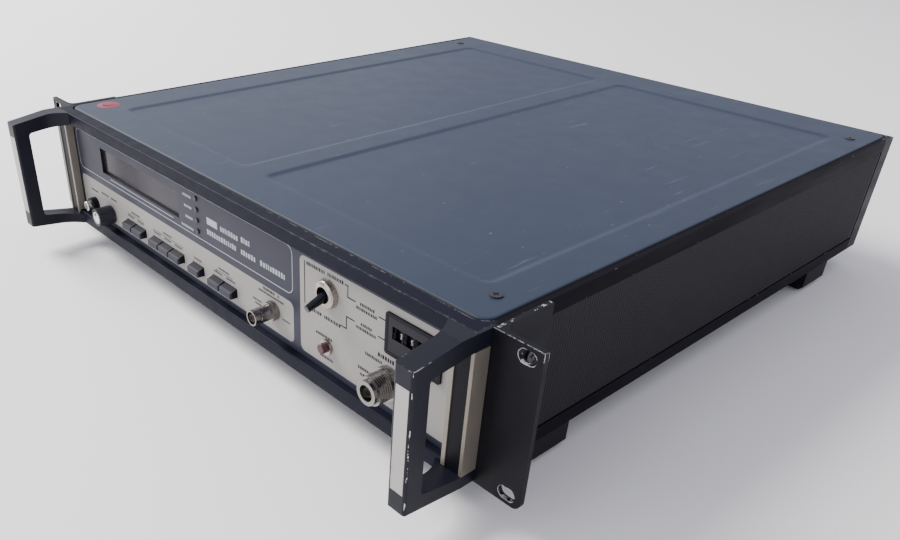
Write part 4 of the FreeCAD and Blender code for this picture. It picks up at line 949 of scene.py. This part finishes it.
def digit_shape(digit):
    """A flat digit cut from Blender's own font, as a thin bmesh round its middle."""
    text = bpy.data.curves.new(f"digit_{digit}", "FONT")
    text.body = str(digit)
    text.size = DIGIT_HEIGHT / DIGIT_SHARE
    text.align_x = "CENTER"
    text.align_y = "CENTER"
    text.resolution_u = 3
    holder = bpy.data.objects.new("digit_holder", text)
    bpy.context.scene.collection.objects.link(holder)
    flat = bpy.data.meshes.new_from_object(holder.evaluated_get(bpy.context.evaluated_depsgraph_get()))
    bpy.data.objects.remove(holder)
    bpy.data.curves.remove(text)
    shape = bmesh.new()
    shape.from_mesh(flat)
    bpy.data.meshes.remove(flat)
    bmesh.ops.triangulate(shape, faces=shape.faces)
    bmesh.ops.solidify(shape, geom=shape.faces[:], thickness=DIGIT_THICK)
    return shape


def wheel_place(node):
    """Left side, axis along y and z, and outer radius of a thumbwheel."""
    low, high = span(node)
    return low.x, (low.y + high.y) / 2, (low.z + high.z) / 2, (high.z - low.z) / 2


def make_digit_ring(number, white):
    """Digits 0 to 9 wrapped round a thumbwheel's drum."""
    node = f"thumbwheel_{number}"
    left, centre_y, centre_z, outer = wheel_place(node)
    radius = outer - WHEEL_DRUM_DEPTH
    middle_x = left + WHEEL_RIM_WIDTH + WHEEL_DRUM_MIDDLE
    bm = bmesh.new()
    for digit in range(10):
        shape = digit_shape(digit)
        turn = 2 * math.pi * (digit - DIGITS_SHOWN[number - 1]) / 10
        made = {}
        for vertex in shape.verts:
            angle = vertex.co.y / radius + turn
            reach = radius + DIGIT_LIFT + (DIGIT_THICK if vertex.co.z > -0.01 else -DIGIT_THICK)
            made[vertex] = bm.verts.new((middle_x + vertex.co.x * DIGIT_SQUEEZE,
                                         centre_y - reach * math.cos(angle),
                                         centre_z + reach * math.sin(angle)))
        for face in shape.faces:
            bm.faces.new([made[vertex] for vertex in face.verts])
        shape.free()
    add_mesh(f"thumbwheel_{number}_digits", bm, node, white, smooth=False)


MASK_MARGIN = 1.3
MASK_INSET = 0.15
MASK_THICK = 0.3
MASK_WINDOW_LEFT, MASK_WINDOW_RIGHT = 0.2, 0.9
MASK_WINDOW_BELOW, MASK_WINDOW_ABOVE = 1.6, 5.4


def make_wheel_mask(black):
    """Dark face of the thumbwheel bank with an opening over each wheel's digit."""
    low, high = span("thumbwheel_housing")
    front = low.y + MASK_INSET
    wheels = [span(f"thumbwheel_{number}") for number in WHEELS]
    middle = (wheels[0][0].z + wheels[0][1].z) / 2
    bottom, top = middle - MASK_WINDOW_BELOW, middle + MASK_WINDOW_ABOVE
    edges = [low.x + MASK_MARGIN]
    for wheel_low, wheel_high in wheels:
        edges += [wheel_low.x + MASK_WINDOW_LEFT, wheel_high.x + MASK_WINDOW_RIGHT]
    edges.append(high.x - MASK_MARGIN)
    width = edges[-1] - edges[0]
    bm = bmesh.new()
    add_block(bm, edges[0], front, low.z + MASK_MARGIN, width, MASK_THICK, bottom - low.z - MASK_MARGIN)
    add_block(bm, edges[0], front, top, width, MASK_THICK, high.z - MASK_MARGIN - top)
    for left, right in zip(edges[::2], edges[1::2]):
        add_block(bm, left, front, bottom, right - left, MASK_THICK, top - bottom)
    add_mesh("thumbwheel_mask", bm, "cabinet", black, smooth=False)


TEETH = 30
TOOTH_PROFILE = ((0.0, 0.02), (0.3, 0.02), (0.45, 0.5), (0.85, 0.5))
TEETH_CLEARANCE = 0.02
TEETH_BORE_DEPTH = 1.0


def make_wheel_teeth(number, black):
    """Grip teeth round a thumbwheel's rim."""
    node = f"thumbwheel_{number}"
    side, centre_y, centre_z, outer = wheel_place(node)
    bm = bmesh.new()
    tooth_line = [(2 * math.pi * (tooth + share) / TEETH, outer + reach)
                  for tooth in range(TEETH) for share, reach in TOOTH_PROFILE]
    bore_line = [(angle, outer - TEETH_BORE_DEPTH) for angle, _ in tooth_line]
    left = side - TEETH_CLEARANCE
    right = side + WHEEL_RIM_WIDTH + TEETH_CLEARANCE
    rings = []
    for x, line in ((left, tooth_line), (right, tooth_line), (right, bore_line), (left, bore_line)):
        rings.append([bm.verts.new((x, centre_y - distance * math.cos(angle),
                                    centre_z + distance * math.sin(angle))) for angle, distance in line])
    count = len(tooth_line)
    for first, second in zip(rings, rings[1:] + rings[:1]):
        for k in range(count):
            bm.faces.new((first[k], first[(k + 1) % count], second[(k + 1) % count], second[k]))
    add_mesh(f"thumbwheel_{number}_teeth", bm, node, black, smooth=False)


# ---------------------------------------------------------------- dressing of the CAD nodes
def dress_cad():
    """Give every CAD node its material; returns the ones that the pieces share."""
    charcoal = painted("charcoal_paint", (0.0085, 0.0092, 0.0175), 0.42, wear=0.51, shine=0.06,
                       worn_where=frame_wear)
    navy = painted("navy_paint", (0.0075, 0.0079, 0.0148), 0.40, wear=0.49, shine=0.2,
                   worn_where=handle_wear, bare_where=handle_chips)
    ear_black = painted("ear_paint", (0.0045, 0.0045, 0.0075), 0.46, wear=0.46, shine=0.16,
                        worn_where=ear_wear, bare_where=ear_chips)
    side_black = painted("side_paint", (0.0075, 0.006, 0.0095), 0.5, wear=0.62, shine=0.03)
    enamel = cover_paint()
    dress(charcoal, "front_frame", "rear_frame")
    dress(navy, "left_handle", "right_handle")
    dress(ear_black, "left_rack_ear", "right_rack_ear")
    dress(side_black, "left_side_frame", "right_side_frame")
    dress(enamel, "bottom_cover", "top_cover")
    dress(panel_print(), "front_panel")
    dress(window_material(), "display_window")
    dress(trim_metal(), "left_handle_trim", "right_handle_trim")
    inlay = metal("brushed_inlay", (0.46, 0.445, 0.425), 0.42, brushed=(1, 1, 0.05), streak=0.2,
                  metallic=0.55)
    dress(inlay, "left_handle_inlay", "right_handle_inlay")
    nickel = metal("nickel_plate", (0.42, 0.375, 0.335), 0.24, streak=0.08, patches=0.1,
                   grain=0.5, depth=0.001)
    dress(nickel, "lamp_bezel", "mode_toggle_switch", "rear_connectors")
    worn_nickel = metal("worn_nickel", (0.30, 0.285, 0.275), 0.20, streak=0.15, patches=0.15,
                        grain=0.5, depth=0.001)
    dress(worn_nickel, "n_input", "bnc_input")
    bright = metal("polished_metal", (0.78, 0.765, 0.74), 0.2, streak=0.12)
    dress(bright, "power_button")
    black = plastic("black_plastic", (0.006, 0.006, 0.010), 0.45, shine=0.12)
    dress(plastic("knob_plastic", (0.020, 0.022, 0.032), 0.4), "rate_knob")
    dress(black, "power_switch", "rate_control", "power_inlet", "fan_frame", "fan_rotor",
          "thumbwheel_housing", *[f"thumbwheel_{n}" for n in WHEELS])
    dress(plastic("foot_plastic", (0.004, 0.004, 0.005), 0.6, depth=0.03, shine=0.2),
          "front_left_foot", "front_right_foot", "rear_left_foot", "rear_right_foot")
    dress(button_plastic(), *[f"push_button_{n}" for n in range(1, 9)])
    lever = plastic("lever_plastic", (0.005, 0.005, 0.011), 0.10, depth=0.003, shine=0.3)
    dress(lever, "mode_toggle_lever")
    dress(plastic("lamp_red", (0.070, 0.020, 0.030), 0.3, depth=0.006), "lamp_lens")
    dress(plastic("led_red", (0.012, 0.006, 0.007), 0.3, depth=0.004), "annunciator_leds")
    dress(metal("screw_black", (0.10, 0.10, 0.11), 0.42), "case_screws", "foot_screws")
    dress(metal("chromate", (0.58, 0.58, 0.56), 0.42, brushed=(0.05, 1, 1), streak=0.15), "rear_panel")
    dress(board_material(), "main_board", "plug_in_boards", "switch_board", "display_board")
    dress(metal("laminations", (0.25, 0.25, 0.26), 0.45, brushed=(1, 1, 0.02)), "power_transformer")
    dress(metal("can_sleeve", (0.08, 0.10, 0.24), 0.4, metallic=0.3), "reservoir_capacitors")
    dress(metal("milled_aluminium", (0.60, 0.60, 0.58), 0.38), "converter_module")
    return enamel, black, bright, nickel


def main():
    add_camera()
    add_lighting()
    add_floor()
    enamel, black, bright, nickel = dress_cad()
    make_cover(enamel)
    vinyl = plastic("ribbed_vinyl", (0.011, 0.0095, 0.0135), 0.55, grain=2.5, depth=0.03, shine=0.22)
    for side in ("left", "right"):
        make_ribbed_insert(side, vinyl)
    make_sticker()
    make_printing()
    make_front_ring("rate_knob_cap", "rate_knob", KNOB_CAP_OUTLINE, "rate_knob", bright)
    make_insulators()
    make_front_ring("toggle_face_ring", "mode_toggle_switch", TOGGLE_RING_OUTLINE, "cabinet",
                    nickel)
    white = plastic("digit_white", (0.75, 0.75, 0.74), 0.5, depth=0.004)
    make_wheel_mask(plastic("mask_black", (0.010, 0.010, 0.015), 0.45, shine=0.2))
    for number in WHEELS:
        make_digit_ring(number, white)
        make_wheel_teeth(number, black)


main()
